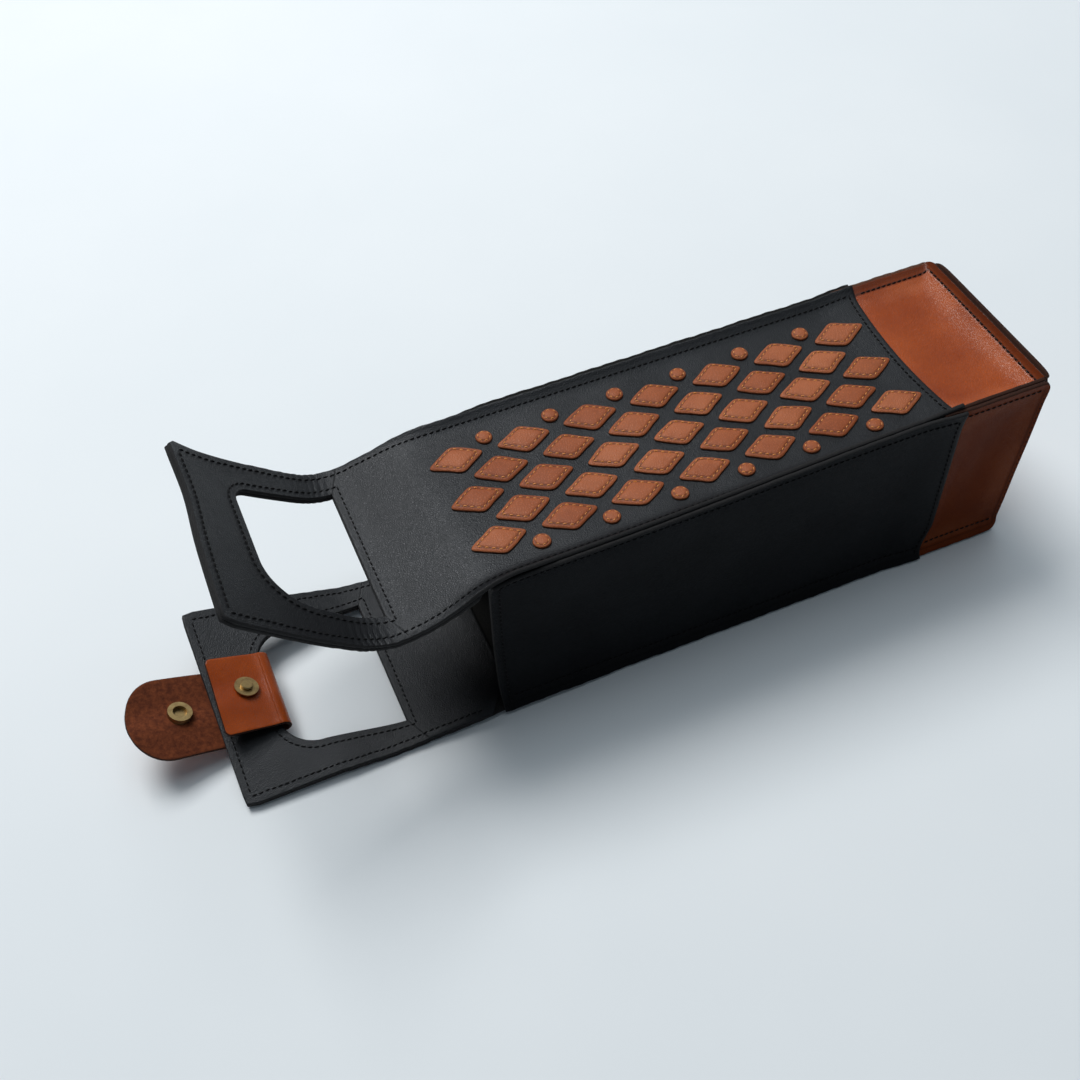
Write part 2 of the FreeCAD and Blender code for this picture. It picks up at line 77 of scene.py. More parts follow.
def new_group(name, scale, outputs):
    """A node group with one input, Scale, and number outputs: its tree, that input and its output node."""
    tree = bpy.data.node_groups.new(name, "ShaderNodeTree")
    tree.interface.new_socket("Scale", in_out="INPUT", socket_type="NodeSocketFloat").default_value = scale
    for label in outputs:
        tree.interface.new_socket(label, in_out="OUTPUT", socket_type="NodeSocketFloat")
    return tree, tree.nodes.new("NodeGroupInput").outputs["Scale"], tree.nodes.new("NodeGroupOutput")


def scaled(tree, value, times, plus=0.0, clamp=False):
    """A socket's value times a number or socket, plus another."""
    node = tree.nodes.new("ShaderNodeMath")
    node.operation = "MULTIPLY_ADD"
    node.use_clamp = clamp
    return wire(tree, node, {0: value, 1: times, 2: plus}).outputs[0]


def mixed(tree, share, first, second):
    """The result of a colour Mix node from first to second by the socket share."""
    node = tree.nodes.new("ShaderNodeMix")
    node.data_type = "RGBA"
    return wire(tree, node, {0: share, 6: first, 7: second}).outputs[2]


def spots(tree, scale, detail, rough):
    """The outputs of a Noise texture on Object coordinates; the socket scale is in lumps per metre."""
    place = tree.nodes.new("ShaderNodeTexCoord").outputs["Object"]
    node = tree.nodes.new("ShaderNodeTexNoise")
    return wire(tree, node, {"Vector": place, "Scale": scale, "Detail": detail, "Roughness": rough}).outputs


# Fibres: short felted fibres of a cut edge, a flesh side or board, as a height and as pale flecks
fibre_tree, fibre_scale, fibre_out = new_group("fibres", 1500.0, ("Height", "Fleck"))
fibre_noise = spots(fibre_tree, fibre_scale, 5.0, 0.7)["Fac"]
fibre_fleck = scaled(fibre_tree, fibre_noise, 3.0, -1.0, True)
wire(fibre_tree, fibre_out, {"Height": fibre_noise, "Fleck": fibre_fleck})


def placed_group(tree, group, scale):
    """The outputs of one use of a node group in a material, at its own scale."""
    node = tree.nodes.new("ShaderNodeGroup")
    node.node_tree = group
    return wire(tree, node, {"Scale": scale}).outputs


def bumped(tree, height, strength, depth):
    """The normal of a Bump node on a height socket; depth is in metres."""
    node = tree.nodes.new("ShaderNodeBump")
    return wire(tree, node, {"Strength": strength, "Distance": depth, "Height": height}).outputs["Normal"]


def new_material(name):
    """An empty node material, its tree and its Principled shader."""
    material = bpy.data.materials.new(name)
    material.use_nodes = True
    return material, material.node_tree, material.node_tree.nodes["Principled BSDF"]


def fibre_material(name, deep, pale, roughness, scale, sheen=0.0, specular=0.2, felt=(0.5, 0.0003)):
    """Matt fibrous stuff: deep and pale mixed by fibre flecks, with a bump of felt's strength and depth."""
    material, tree, shader = new_material(name)
    fibres = placed_group(tree, fibre_tree, scale)
    wire(tree, shader, {
        "Base Color": mixed(tree, fibres["Fleck"], deep, pale),
        "Roughness": roughness,
        "Specular IOR Level": specular,
        "Sheen Weight": sheen,
        "Sheen Roughness": 0.5,
        "Normal": bumped(tree, fibres["Height"], *felt),
    })
    return material


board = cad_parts["base_board"]
board.data.materials.clear()
board.data.materials.append(fibre_material("bonded_board", BOARD_FLECK, BOARD_COLOUR, 0.85, 900.0))

# Base panel: a square of brown leather that closes the foot, sewn to the four foot bands.
# Its margins turn out towards the floor the carrier stands on, so it sits back inside a raised rim.
MM = 0.001
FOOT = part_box("base_panel")[1].x / MM
AXIS = 48.5
INNER = 43.0
FIN = 7.0
LEATHER = 1.8
SEWN_PAST = 2.4
SEAM_WIDTH = 0.9
BASE_DEPTH = 4.0
BASE_CORNER = 14.0
BASE_LIP = 1.9
FOOT_SOFT = 1.6
FOOT_TURN = {"front": 62.0, "back": 45.0, "near": 18.0, "far": 45.0}
FOOT_MARGIN = {"front": FIN, "back": 4.4, "near": 5.0, "far": 6.5}
WHITE = (1.0, 1.0, 1.0)
BROWN_TONES = {
    "deep": (0.265, 0.041, 0.005),
    "pale": (0.41, 0.078, 0.013),
    "dark": (0.03, 0.008, 0.004),
    "rubbed": (0.42, 0.11, 0.04),
}

# Grain: the small plump cells of the hair side with furrows between them, over a wrinkle at a larger scale
grain_tree, grain_scale, grain_out = new_group("leather_grain", 900.0, ("Height", "Furrow"))
grain_place = grain_tree.nodes.new("ShaderNodeTexCoord").outputs["Object"]
grain_bend = spots(grain_tree, scaled(grain_tree, grain_scale, 0.45), 2.0, 0.55)["Color"]
grain_push = grain_tree.nodes.new("ShaderNodeVectorMath")
grain_push.operation = "MULTIPLY_ADD"
grain_push.inputs[1].default_value = (0.0011, 0.0011, 0.0011)
wire(grain_tree, grain_push, {0: grain_bend, 2: grain_place})
grain_cells = grain_tree.nodes.new("ShaderNodeTexVoronoi")
grain_cells.feature = "DISTANCE_TO_EDGE"
wire(grain_tree, grain_cells, {"Vector": grain_push.outputs[0], "Scale": grain_scale})
grain_plump = scaled(grain_tree, grain_cells.outputs["Distance"], 3.2, clamp=True)
grain_fine = spots(grain_tree, scaled(grain_tree, grain_scale, 0.22), 5.0, 0.65)["Fac"]
wire(grain_tree, grain_out, {
    "Height": scaled(grain_tree, grain_plump, 0.45, grain_fine),
    "Furrow": scaled(grain_tree, grain_plump, -1.0, 1.0),
})

# Clouds: the slow change of tone over a hide, from the dye and the handling
cloud_tree, cloud_scale, cloud_out = new_group("hide_clouds", 25.0, ("Tone",))
cloud_noise = spots(cloud_tree, cloud_scale, 4.0, 0.6)["Fac"]
wire(cloud_tree, cloud_out, {"Tone": scaled(cloud_tree, cloud_noise, 2.2, -0.6, True)})


def grain_material(name, tones, roughness, cells, relief, specular, ior=1.5, light_tint=WHITE):
    """Hair side of leather: clouds mix deep and pale, furrows go dark, and so does the seam mark, which
    carries dark stitch lines and painted shade; worn parts are rubbed.

    Worn parts are glossier and more crinkled, furrows duller; cells is the grain's count per metre, a low ior
    dulls the leather where it is seen along its face, and the given tint colours its reflections: painted
    light colour.
    """
    material, tree, shader = new_material(name)
    grain = placed_group(tree, grain_tree, cells)
    tone = placed_group(tree, cloud_tree, 28.0)["Tone"]
    marks = {}
    for mark in ("seam", "worn"):
        node = tree.nodes.new("ShaderNodeAttribute")
        node.attribute_name = mark
        marks[mark] = node.outputs["Fac"]
    patchy = scaled(tree, marks["worn"], tone)
    colour = mixed(tree, tone, tones["deep"], tones["pale"])
    colour = mixed(tree, scaled(tree, grain["Furrow"], 0.35), colour, tones["dark"])
    colour = mixed(tree, patchy, colour, tones["rubbed"])
    # The seam mark darkens: dark stitch lines, and painted shade where a piece puts it in that mark (foot
    # lips, near and far bands, patch grooves).
    colour = mixed(tree, marks["seam"], colour, tones["dark"])
    duller = scaled(tree, grain["Furrow"], 0.12, roughness)
    duller = scaled(tree, tone, -0.07, duller)
    duller = scaled(tree, patchy, -0.08, duller)
    crinkled = scaled(tree, marks["worn"], 2.6, 1.0)
    height = scaled(tree, grain["Height"], crinkled)
    wire(tree, shader, {
        "Base Color": colour,
        "Roughness": duller,
        "Specular IOR Level": specular,
        "IOR": ior,
        "Specular Tint": light_tint,
        "Normal": bumped(tree, height, relief, 0.0006),
    })
    return material


brown_grain = grain_material("brown_grain", BROWN_TONES, 0.22, 1200.0, 0.24, 0.2)
# A dulled copy of the brown grain, laid only on the near and far foot bands so that those sides render
# darker: painted shade.
brown_shaded_sides = grain_material("brown_shaded_sides_grain", BROWN_TONES, 0.33, 1300.0, 0.17, 0.35, 1.12)
brown_edge = fibre_material("brown_cut_edge", (0.012, 0.005, 0.003), (0.05, 0.016, 0.008), 0.8, 2200.0)
brown_flesh = fibre_material("brown_flesh", (0.06, 0.022, 0.011), (0.16, 0.062, 0.03), 0.9, 1100.0, 0.25)


def ease(start, end, value):
    """0 before start, 1 after end, a smooth S between; it falls where start is above end."""
    share = np.clip((value - start) / (end - start), 0.0, 1.0)
    return share * share * (3.0 - 2.0 * share)


def hump(start, full, fades, end, value):
    """0 outside start and end, 1 from full to fades, and smooth slopes between."""
    return ease(start, full, value) * ease(end, fades, value)


def bell(value, middle, width):
    """1 at the middle, falling on both sides: e to the minus square of the distance in widths."""
    return np.exp(-((value - middle) / width) ** 2)


def past(value, soft):
    """How much leather is past a fold: 0 well before zero, the value well after it, rounded over soft."""
    return soft * np.logaddexp(0.0, value / soft)


def between(start, end, share):
    """What lies by that share on the way from start to end."""
    return start * (1.0 - share) + end * share


def abreast(*parts):
    """Arrays or numbers set side by side on a new last axis: coordinates make points, corners make faces."""
    return np.stack(np.broadcast_arrays(*parts), axis=-1)


def unit(vectors):
    """The same directions at length one."""
    return vectors / np.linalg.norm(vectors, axis=-1, keepdims=True)


def facing(surface, l, q):
    """Unit normals of a surface: its change across crossed with its change along."""
    across = surface(l, q + 0.02) - surface(l, q - 0.02)
    along = surface(l + 0.02, q) - surface(l - 0.02, q)
    return unit(np.cross(across, along))


def new_piece(name, points, faces, materials, face_material=None, marks=None):
    """A smooth mesh object from points in millimetres, faces, each face's material, and point marks."""
    mesh = bpy.data.meshes.new(name)
    mesh.from_pydata((points * MM).tolist(), [], faces)
    for material in materials:
        mesh.materials.append(material)
    if face_material is not None:
        mesh.polygons.foreach_set("material_index", np.asarray(face_material, dtype=np.int32))
    for mark, values in (marks or {}).items():
        attribute = mesh.attributes.new(mark, "FLOAT", "POINT")
        attribute.data.foreach_set("value", np.asarray(values, dtype=np.float32))
    mesh.shade_smooth()
    mesh.update()
    piece = bpy.data.objects.new(name, mesh)
    scene.collection.objects.link(piece)
    return piece


RIM_SHARES = np.array([0.12, 0.5, 0.88])
RIM_SWELL = np.array([0.75, 1.0, 0.75])


def leather_slabs(name, flesh, grain, materials, swell=0.3, seam=None, worn=None):
    """Closed pieces of leather from grids (piece, along, across, xyz) on the flesh and the grain side.

    A rim of three rows joins the two borders, pushed out by swell along the leather, as a cut edge bellies.
    Faces: grain side, then flesh side turned over, then rim.
    """
    count, rows, columns = grain.shape[:3]
    cell = np.arange(rows * columns).reshape(rows, columns)
    loop = np.concatenate([cell[0, :-1], cell[:-1, -1], cell[-1, :0:-1], cell[:0:-1, 0]])
    row_of, column_of = np.divmod(loop, columns)
    inside = np.clip(row_of, 1, rows - 2) * columns + np.clip(column_of, 1, columns - 2)
    top = grain.reshape(count, -1, 3)
    low = flesh.reshape(count, -1, 3)
    out = unit((top[:, loop] + low[:, loop]) - (top[:, inside] + low[:, inside]))
    rim = between(top[:, None, loop], low[:, None, loop], RIM_SHARES[None, :, None, None])
    rim = rim + swell * RIM_SWELL[None, :, None, None] * out[:, None]
    points = np.concatenate([top, low, rim.reshape(count, -1, 3)], axis=1)
    quads = abreast(cell[:-1, :-1], cell[:-1, 1:], cell[1:, 1:], cell[1:, :-1]).reshape(-1, 4)
    first_rim = 2 * rows * columns
    bands = first_rim + np.arange(RIM_SHARES.size * loop.size).reshape(RIM_SHARES.size, -1)
    bands = np.concatenate([loop[None], bands, loop[None] + rows * columns])
    ahead = np.roll(bands, -1, axis=1)
    sides = abreast(bands[:-1], bands[1:], ahead[1:], ahead[:-1]).reshape(-1, 4)
    faces = np.concatenate([quads, quads[:, ::-1] + rows * columns, sides])
    kinds = np.concatenate([np.zeros(len(quads)), np.full(len(quads), 2), np.ones(len(sides))])
    each = points.shape[1]
    faces = (faces[None] + each * np.arange(count)[:, None, None]).reshape(-1, 4)
    marks = {}
    for mark, values in (("seam", seam), ("worn", worn)):
        if values is not None:
            full = np.zeros((count, each))
            full[:, :rows * columns] = values.reshape(count, -1)
            full[:, first_rim:] = 0.5 * np.tile(values.reshape(count, -1)[:, loop], (1, RIM_SHARES.size))
            marks[mark] = full.ravel()
    return new_piece(name, points.reshape(-1, 3), faces.tolist(), materials, np.tile(kinds, count), marks)


def leather_sheet(name, surface, l, q, lifts, materials, swell=0.3, seam=None, worn=None):
    """One piece of leather along a surface; lifts says how far its flesh and its grain stand off that."""
    seat = surface(l, q)
    up = facing(surface, l, q)
    flesh, grain = ((seat + np.asarray(lift)[..., None] * up)[None] for lift in lifts)
    return leather_slabs(name, flesh, grain, materials, swell, seam, worn)


def crowded(fold, fine, coarse):
    """Units from -1 to 1: coarse steps between the fold lines, fine steps in the margins past them."""
    middle = np.linspace(-fold, fold, int(2 * fold / coarse) + 1)
    edge = np.linspace(fold, 1.0, int((1.0 - fold) / fine) + 1)[1:]
    return np.concatenate([-edge[::-1], middle, edge])


def rounded_square(units, power, tiny):
    """A square grid drawn in to a square with corners rounded by a power: across, along and border.

    border grows from 0 in the middle to 1 at the edge; tiny keeps the middle from dividing by zero.
    """
    across, along = np.meshgrid(units, units)
    border = np.maximum(np.abs(across), np.abs(along))
    shrink = border / (np.abs(across) ** power + np.abs(along) ** power + tiny) ** (1.0 / power)
    return across * shrink, along * shrink, border


def spread(units, low, high):
    """Units from -1 to 1 stretched to a piece's low edge on one side and its high edge on the other."""
    return np.where(units < 0.0, units * low, units * high)


def margins(place, low_turn, high_turn, low_soft=FOOT_SOFT, high_soft=FOOT_SOFT, fold=INNER):
    """Leather whose margins turn out past their folds, at fold from the middle: its place and its rise."""
    low = past(-place - fold, low_soft)
    high = past(place - fold, high_soft)
    flat = place + (1.0 - np.cos(low_turn)) * low - (1.0 - np.cos(high_turn)) * high
    return flat, np.sin(low_turn) * low + np.sin(high_turn) * high


def base_surface(l, q):
    """The base's face to the hollow: flat, with its margins turned out to lie against those of the bands.

    A margin turns by what its band's foot margin leaves of a right angle; corners blend by fourth powers.
    """
    turn = {side: math.radians(90.0 - angle) for side, angle in FOOT_TURN.items()}
    across, side_rise = margins(q, turn["near"], turn["far"])
    along, end_rise = margins(l, turn["back"], turn["front"])
    return abreast(FOOT - BASE_DEPTH + (side_rise ** 4 + end_rise ** 4) ** 0.25, across, AXIS + along)


base_across, base_along = rounded_square(crowded(0.8, 0.012, 0.035), BASE_CORNER, 1e-12)[:2]
base_q = spread(base_across, INNER + FOOT_MARGIN["near"], INNER + FOOT_MARGIN["far"])
base_l = spread(base_along, INNER + FOOT_MARGIN["back"], INNER + FOOT_MARGIN["front"] + BASE_LIP)
base_out = np.maximum(np.abs(base_q), np.abs(base_l))
base_seam = 0.7 * bell(base_out, INNER + SEWN_PAST, SEAM_WIDTH)
base_worn = 0.7 * hump(INNER - 6.0, INNER, INNER + 0.5, INNER + 1.5, base_out)
base_piece = leather_sheet("base_leather", base_surface, base_l, base_q, (0.0, LEATHER),
                           (brown_grain, brown_edge, brown_edge), seam=base_seam, worn=base_worn)
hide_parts("base_panel")
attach(base_piece, "bag")

# Foot bands: four strips of glossy chestnut leather round the foot, sewn to the base and to each other.
# The seams turn outwards, so a raw-edged fin stands along every edge; the upper edge runs under the black.
SHIFT = 1.5
FOOT_FOLD = BASE_DEPTH + SHIFT
TURNS = {"front": (76.0, 28.0), "back": (55.0, 55.0), "near": (35.0, 14.0), "far": (62.0, 35.0)}
BAND_END = 55.0 + SHIFT
BAND_CORNER = 5.5
BAND_SAG = {"front": 1.6, "back": 0.8, "near": 2.2, "far": 2.0}
BAND_FOLDS = {"front": (2.0, 3.0), "back": (2.0, 2.0), "near": (4.5, 3.5), "far": (2.6, 4.5)}
BAND_FOOT_SOFT = 3.6
MARGINS = {"front": (FIN, FIN), "back": (6.2, 6.2), "near": (6.2, FIN), "far": (FIN + 1.7, 6.2)}
WALL_AXIS = {"front": (1.0, 0.0), "back": (-1.0, 0.0), "near": (0.0, 1.0), "far": (0.0, -1.0)}
BACK_FOLD = INNER + 2.3
SKIVED = 0.95
SIDE_SHADE = 0.62


def tube_wall(l, q, low_turn, high_turn, low_soft, high_soft, foot_turn=0.8, foot_soft=FOOT_SOFT, fold=INNER):
    """One wall of the square tube: station from the foot end, place across it, and height above the hollow.

    Its margins turn out, and so does the foot margin; where they meet they blend by fourth powers.
    """
    across, sides = margins(q, low_turn, high_turn, low_soft, high_soft, fold)
    foot = math.sin(foot_turn) * past(FOOT_FOLD - l, foot_soft)
    station = l - SHIFT + (1.0 - math.cos(foot_turn)) * past(FOOT_FOLD - l, FOOT_SOFT)
    return station, across, (sides ** 4 + foot ** 4) ** 0.25


def set_wall(side, station, across, height):
    """Part coordinates of a place on one wall; height is counted from the hollow's face outwards."""
    y, z = WALL_AXIS[side]
    out = INNER + height
    return abreast(FOOT - station, y * across - z * out, AXIS + z * across + y * out)


def waves(l, length, phase):
    """Sine waves along l, of that length and phase."""
    return np.sin(2.0 * math.pi * l / length + phase)


def lumps(l, q, seed):
    """Slow unevenness of a hide, about one unit high: five crossed waves, seeded."""
    chance = np.random.default_rng(seed)
    total = 0.0
    for wave in range(5):
        length = chance.uniform(24.0, 70.0)
        heading = chance.uniform(0.0, math.pi)
        phase = chance.uniform(0.0, 2.0 * math.pi)
        total = total + waves(l * math.cos(heading) + q * math.sin(heading), length, phase)
    return total / 5.0


def ragged(l, seed):
    """Uneven hand cutting of an edge, about one unit either way: three waves along it, seeded."""
    chance = np.random.default_rng(seed)
    return sum(waves(l, length, chance.uniform(0.0, 2.0 * math.pi)) for length in (7.0, 16.0, 41.0)) / 3.0


def belly(q):
    """How far a slack wall gives between its folds: 1 on the middle line and 0 at the folds."""
    return np.clip(1.0 - (q / INNER) ** 2, 0.0, 1.0)


def band_surface(side):
    """The flesh side of one foot band as a function of l and q: a sagging wall with broad soft folds.

    The front band is rippled along its foot seam, the others much less.
    """
    low_turn, high_turn = (math.radians(turn) for turn in TURNS[side])
    foot_turn = math.radians(FOOT_TURN[side])
    fold = BACK_FOLD if side == "back" else INNER
    crimp = 0.13 if side == "front" else 0.0325
    seed = len(side) + ord(side[0])

    def surface(l, q):
        station, across, rise = tube_wall(l, q, low_turn, high_turn, *BAND_FOLDS[side],
                                          foot_turn, BAND_FOOT_SOFT, fold)
        hollow = belly(q) * hump(4.0, 26.0, 34.0, 50.0, l)
        ripple = crimp * waves(q + 1.6 * np.sin(l / 2.1), 4.1, 2.0 * np.sin(q / 9.0))
        ripple = ripple * hump(4.5, 8.0, 11.0, 20.0, l) * np.clip(1.0 - (q / 40.0) ** 6, 0.0, 1.0)
        web = 0.4 * ease(44.0, 36.0, np.abs(q)) * ease(44.0, 36.0, l)
        height = rise - BAND_SAG[side] * hollow + ripple + web * lumps(l, q, seed)
        return set_wall(side, station, across, height)

    return surface


band_units = crowded(0.82, 0.012, 0.026)
band_surfaces = {}
for side in TURNS:
    band_surfaces[side] = band_surface(side)
    band_start = FOOT_FOLD - FOOT_MARGIN[side]
    corner_run = BAND_CORNER * (1.0 - np.cos(np.linspace(0.0, math.pi / 2, 9)))
    band_run = np.concatenate([corner_run, np.linspace(BAND_CORNER, BAND_END - band_start, 62)[1:]])
    band_l = band_start + band_run
    corner_gap = np.clip(BAND_CORNER - band_run, 0.0, BAND_CORNER)
    corner_cut = BAND_CORNER - np.sqrt(BAND_CORNER ** 2 - corner_gap ** 2)
    uneven = 0.25 * ragged(band_l, ord(side[1])) * ease(3.0, 9.0, band_l) - corner_cut
    low, high = ((INNER + margin + uneven)[:, None] for margin in MARGINS[side])
    q = spread(band_units, low, high)
    l = np.repeat(band_l[:, None], q.shape[1], axis=1)
    fold = np.maximum(np.abs(q) - INNER, FOOT_FOLD - l)
    # A dark line along the stitches; past it, over the turned-out lip, the seam mark also paints shade.
    seam = 0.8 * bell(fold, SEWN_PAST, 0.8) + 0.6 * ease(SEWN_PAST - 0.4, SEWN_PAST + 2.6, fold)
    worn = 0.8 * hump(-11.0, -3.0, 0.5, 1.6, fold)
    leather = brown_grain
    # Painted shade: the near and far bands are darkened all over, by at least SIDE_SHADE in the seam mark,
    # and take the dulled copy of the grain.
    if side in ("near", "far"):
        seam = np.maximum(seam, SIDE_SHADE)
        leather = brown_shaded_sides
    thickness = LEATHER - SKIVED * ease(42.0, 54.0, l)
    band = leather_sheet(side + "_foot_leather", band_surfaces[side], l, q, (0.0, thickness),
                         (leather, brown_edge, brown_flesh), seam=seam, worn=worn)
    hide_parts(side + "_foot_band")
    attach(band, "bag")

# Side walls: two straight strips of black cowhide that close the tube and end at its mouth.
# Their foot edge laps over the brown and is sewn down, and the mouth edge is turned in to a narrow hem.
BLACK_TONES = {
    "deep": (0.0022, 0.0023, 0.0029),
    "pale": (0.0062, 0.0065, 0.0076),
    "dark": (0.0015, 0.0015, 0.0018),
    "rubbed": (0.013, 0.0133, 0.0145),
}
# A cool blue tint on the black leather's reflections: the colour of bluish light painted into the material,
# not the leather's own.
BLACK_COOL_LIGHT_TINT = (0.91, 0.945, 1.0)
black_grain = grain_material("black_grain", BLACK_TONES, 0.4, 1150.0, 0.3, 0.28, light_tint=BLACK_COOL_LIGHT_TINT)
# A dulled copy of the black grain, laid only on the two side walls so that they render darker: painted shade.
black_shaded_sides = grain_material("black_shaded_sides_grain", BLACK_TONES, 0.42, 1150.0, 0.25, 0.45, 1.18, BLACK_COOL_LIGHT_TINT)
black_edge = fibre_material("black_cut_edge", (0.006, 0.006, 0.007), (0.022, 0.021, 0.021), 0.8, 2200.0)
black_flesh = fibre_material("black_flesh", (0.004, 0.004, 0.004), (0.014, 0.0135, 0.0125), 0.9, 1100.0, 0.1)
MOUTH = 270.0 + SHIFT
STEP = 1.6
LAP_ROW = 2.6
MOUTH_ROW = 3.6
SIDE_SAG = 2.4
SIDE_LEAN = {"near": 1.0, "far": -1.0}
SIDE_FOLDS = {"near": (4.5, 3.5), "far": (2.0, 4.5)}
SIDE_TRIM = 2.8
FIN_OPENS = (258.0, 298.0)
MOUTH_TURNS = {"front": (50.0, 28.0), "near": (35.0, 40.0), "far": (62.0, 35.0)}
SPLAY_TURN = math.radians(14.0)


def wall_turns(side, l):
    """Angles, in radians, by which a black wall's margins turn out, changing from the foot to the mouth."""
    change = ease(60.0, 230.0, l)
    return [np.radians(foot + (mouth - foot) * change) for foot, mouth in zip(TURNS[side], MOUTH_TURNS[side])]


def splay(l):
    """Angle by which the fins on the table splay further near the mouth, where nothing holds them."""
    return SPLAY_TURN * ease(205.0, 245.0, l)


def lap_lift(l):
    """How far a black wall is lifted where it laps over the brown."""
    return STEP * ease(70.0, 45.0, l)


def sewn_marks(*rows):
    """Dark lines along rows of stitches; a row is how far places lie from an edge and how far it does."""
    return 0.8 * np.clip(sum(bell(gap, row, SEAM_WIDTH) for gap, row in rows), 0.0, 1.0)


def side_surface(side):
    """The flesh side of a side wall: hollowed between its fins, and lifted where it laps over the brown."""
    seed = len(side) + 3 * ord(side[0])

    def surface(l, q):
        opens = ease(*FIN_OPENS, l)
        low, high = wall_turns(side, l)
        low = low + (splay(l) if side == "near" else (0.5 * math.pi - low) * opens)
        high = high + (splay(l) if side == "far" else (0.5 * math.pi - high) * opens)
        station, across, rise = tube_wall(l, q, low, high, *SIDE_FOLDS[side])
        hollow = SIDE_SAG * belly(q) * (0.7 + 0.3 * np.sin(l / 47.0 + seed)) * ease(46.0, 78.0, l)
        web = 0.5 * ease(44.0, 36.0, np.abs(q)) * ease(50.0, 70.0, l)
        return set_wall(side, station, across, rise - hollow + lap_lift(l) + web * lumps(l, q, seed))

    return surface


def side_start(height):
    """Where a side wall's foot edge lies, by height from -1 at the table to 1: slanting, then turned back."""
    return 42.5 + SHIFT + 2.4 * height + 5.5 * ease(-0.5, -0.95, height)


side_surfaces = {}
side_units = crowded(0.84, 0.012, 0.028)
side_share = np.linspace(0.0, 1.0, 165)[:, None]
for side, lean in SIDE_LEAN.items():
    side_surfaces[side] = side_surface(side)
    start = side_start(lean * side_units)
    l = between(start, MOUTH, side_share)
    low, high = (INNER + margin + 0.3 * ragged(l, ord(side[0])) for margin in MARGINS[side])
    trimmed = SIDE_TRIM * ease(238.0, 266.0, l)
    low, high = (low, high - trimmed) if side == "near" else (low - trimmed, high)
    q = spread(side_units, low, high)
    fold = np.abs(q) - INNER
    seam = sewn_marks((fold, SEWN_PAST), (l - start, LAP_ROW), (MOUTH - l, MOUTH_ROW))
    worn = 0.5 * np.clip(ease(5.0, 6.5, fold) + ease(2.4, 0.5, MOUTH - l), 0.0, 1.0)
    wall = leather_sheet(side + "_side_leather", side_surfaces[side], l, q, (0.0, LEATHER),
                         (black_shaded_sides, black_edge, black_flesh), seam=seam, worn=worn)
    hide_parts(side + "_side_panel")
    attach(wall, "bag")

# Mouth hems: the turned-in ends of the side walls, a second layer of the same black leather.
# Each lies flat against its wall inside the tube and is held by the stitch line along the mouth.
HEM = 12.0
HEM_HALF = 40.5
HEM_LEATHER = 1.3
LAYER_GAP = 0.02
HEM_LIFTS = (LAYER_GAP - HEM_LEATHER, LAYER_GAP)
hem_run = np.linspace(MOUTH - HEM, MOUTH - 0.15, 16)
hem_l, hem_q = np.meshgrid(hem_run, np.linspace(-HEM_HALF, HEM_HALF, 60), indexing="ij")
for side in SIDE_LEAN:
    hem = leather_sheet(side + "_hem_leather", side_surfaces[side], hem_l, hem_q, HEM_LIFTS,
                        (black_grain, black_edge, black_grain))
    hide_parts(side + "_mouth_hem")
    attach(hem, "bag")

# Front panel and its lining: the long black strip that is the tube's upper wall and runs on as a tongue.
# The tongue is lined with a second layer; past the mouth its margins flatten, it dips and then bends up.
STRIP_START = 49.5 + SHIFT
STRIP_BOW = 4.0
STRIP_HALF = 49.5
STRIP_SOFT = 1.9
TONGUE_END = 314.0 + SHIFT
LEG_HALF = 36.0
DIP_TURN = 14.5
RISE_TURN = 39.0
END_TURN = 48.0
RUN_STEP = 0.5
HINGE_STATION = 316.1
HINGE = FOOT - HINGE_STATION
BLACK_LEATHER = (black_grain, black_edge, black_flesh)
LINING = (black_flesh, black_edge, black_grain)
front_run_l = np.arange(0.0, 460.0, RUN_STEP)
front_slope = np.radians(-DIP_TURN * ease(266.0, 286.0, front_run_l)
                         + (DIP_TURN + RISE_TURN) * ease(300.0, 338.0, front_run_l)
                         + (END_TURN - RISE_TURN) * np.clip((front_run_l - 338.0) / 58.0, 0.0, 1.0))
front_run = RUN_STEP * np.cumsum(np.cos(front_slope)) - RUN_STEP
front_lift = RUN_STEP * np.cumsum(np.sin(front_slope))


def front_half(l):
    """Half of the front strip's width on the leather, trimmed a little on the tongue and handle."""
    return INNER + FIN - 0.5 * ease(258.0, 294.0, l) - 0.9 * ease(330.0, 396.0, l) + 0.25 * ragged(l, 11)


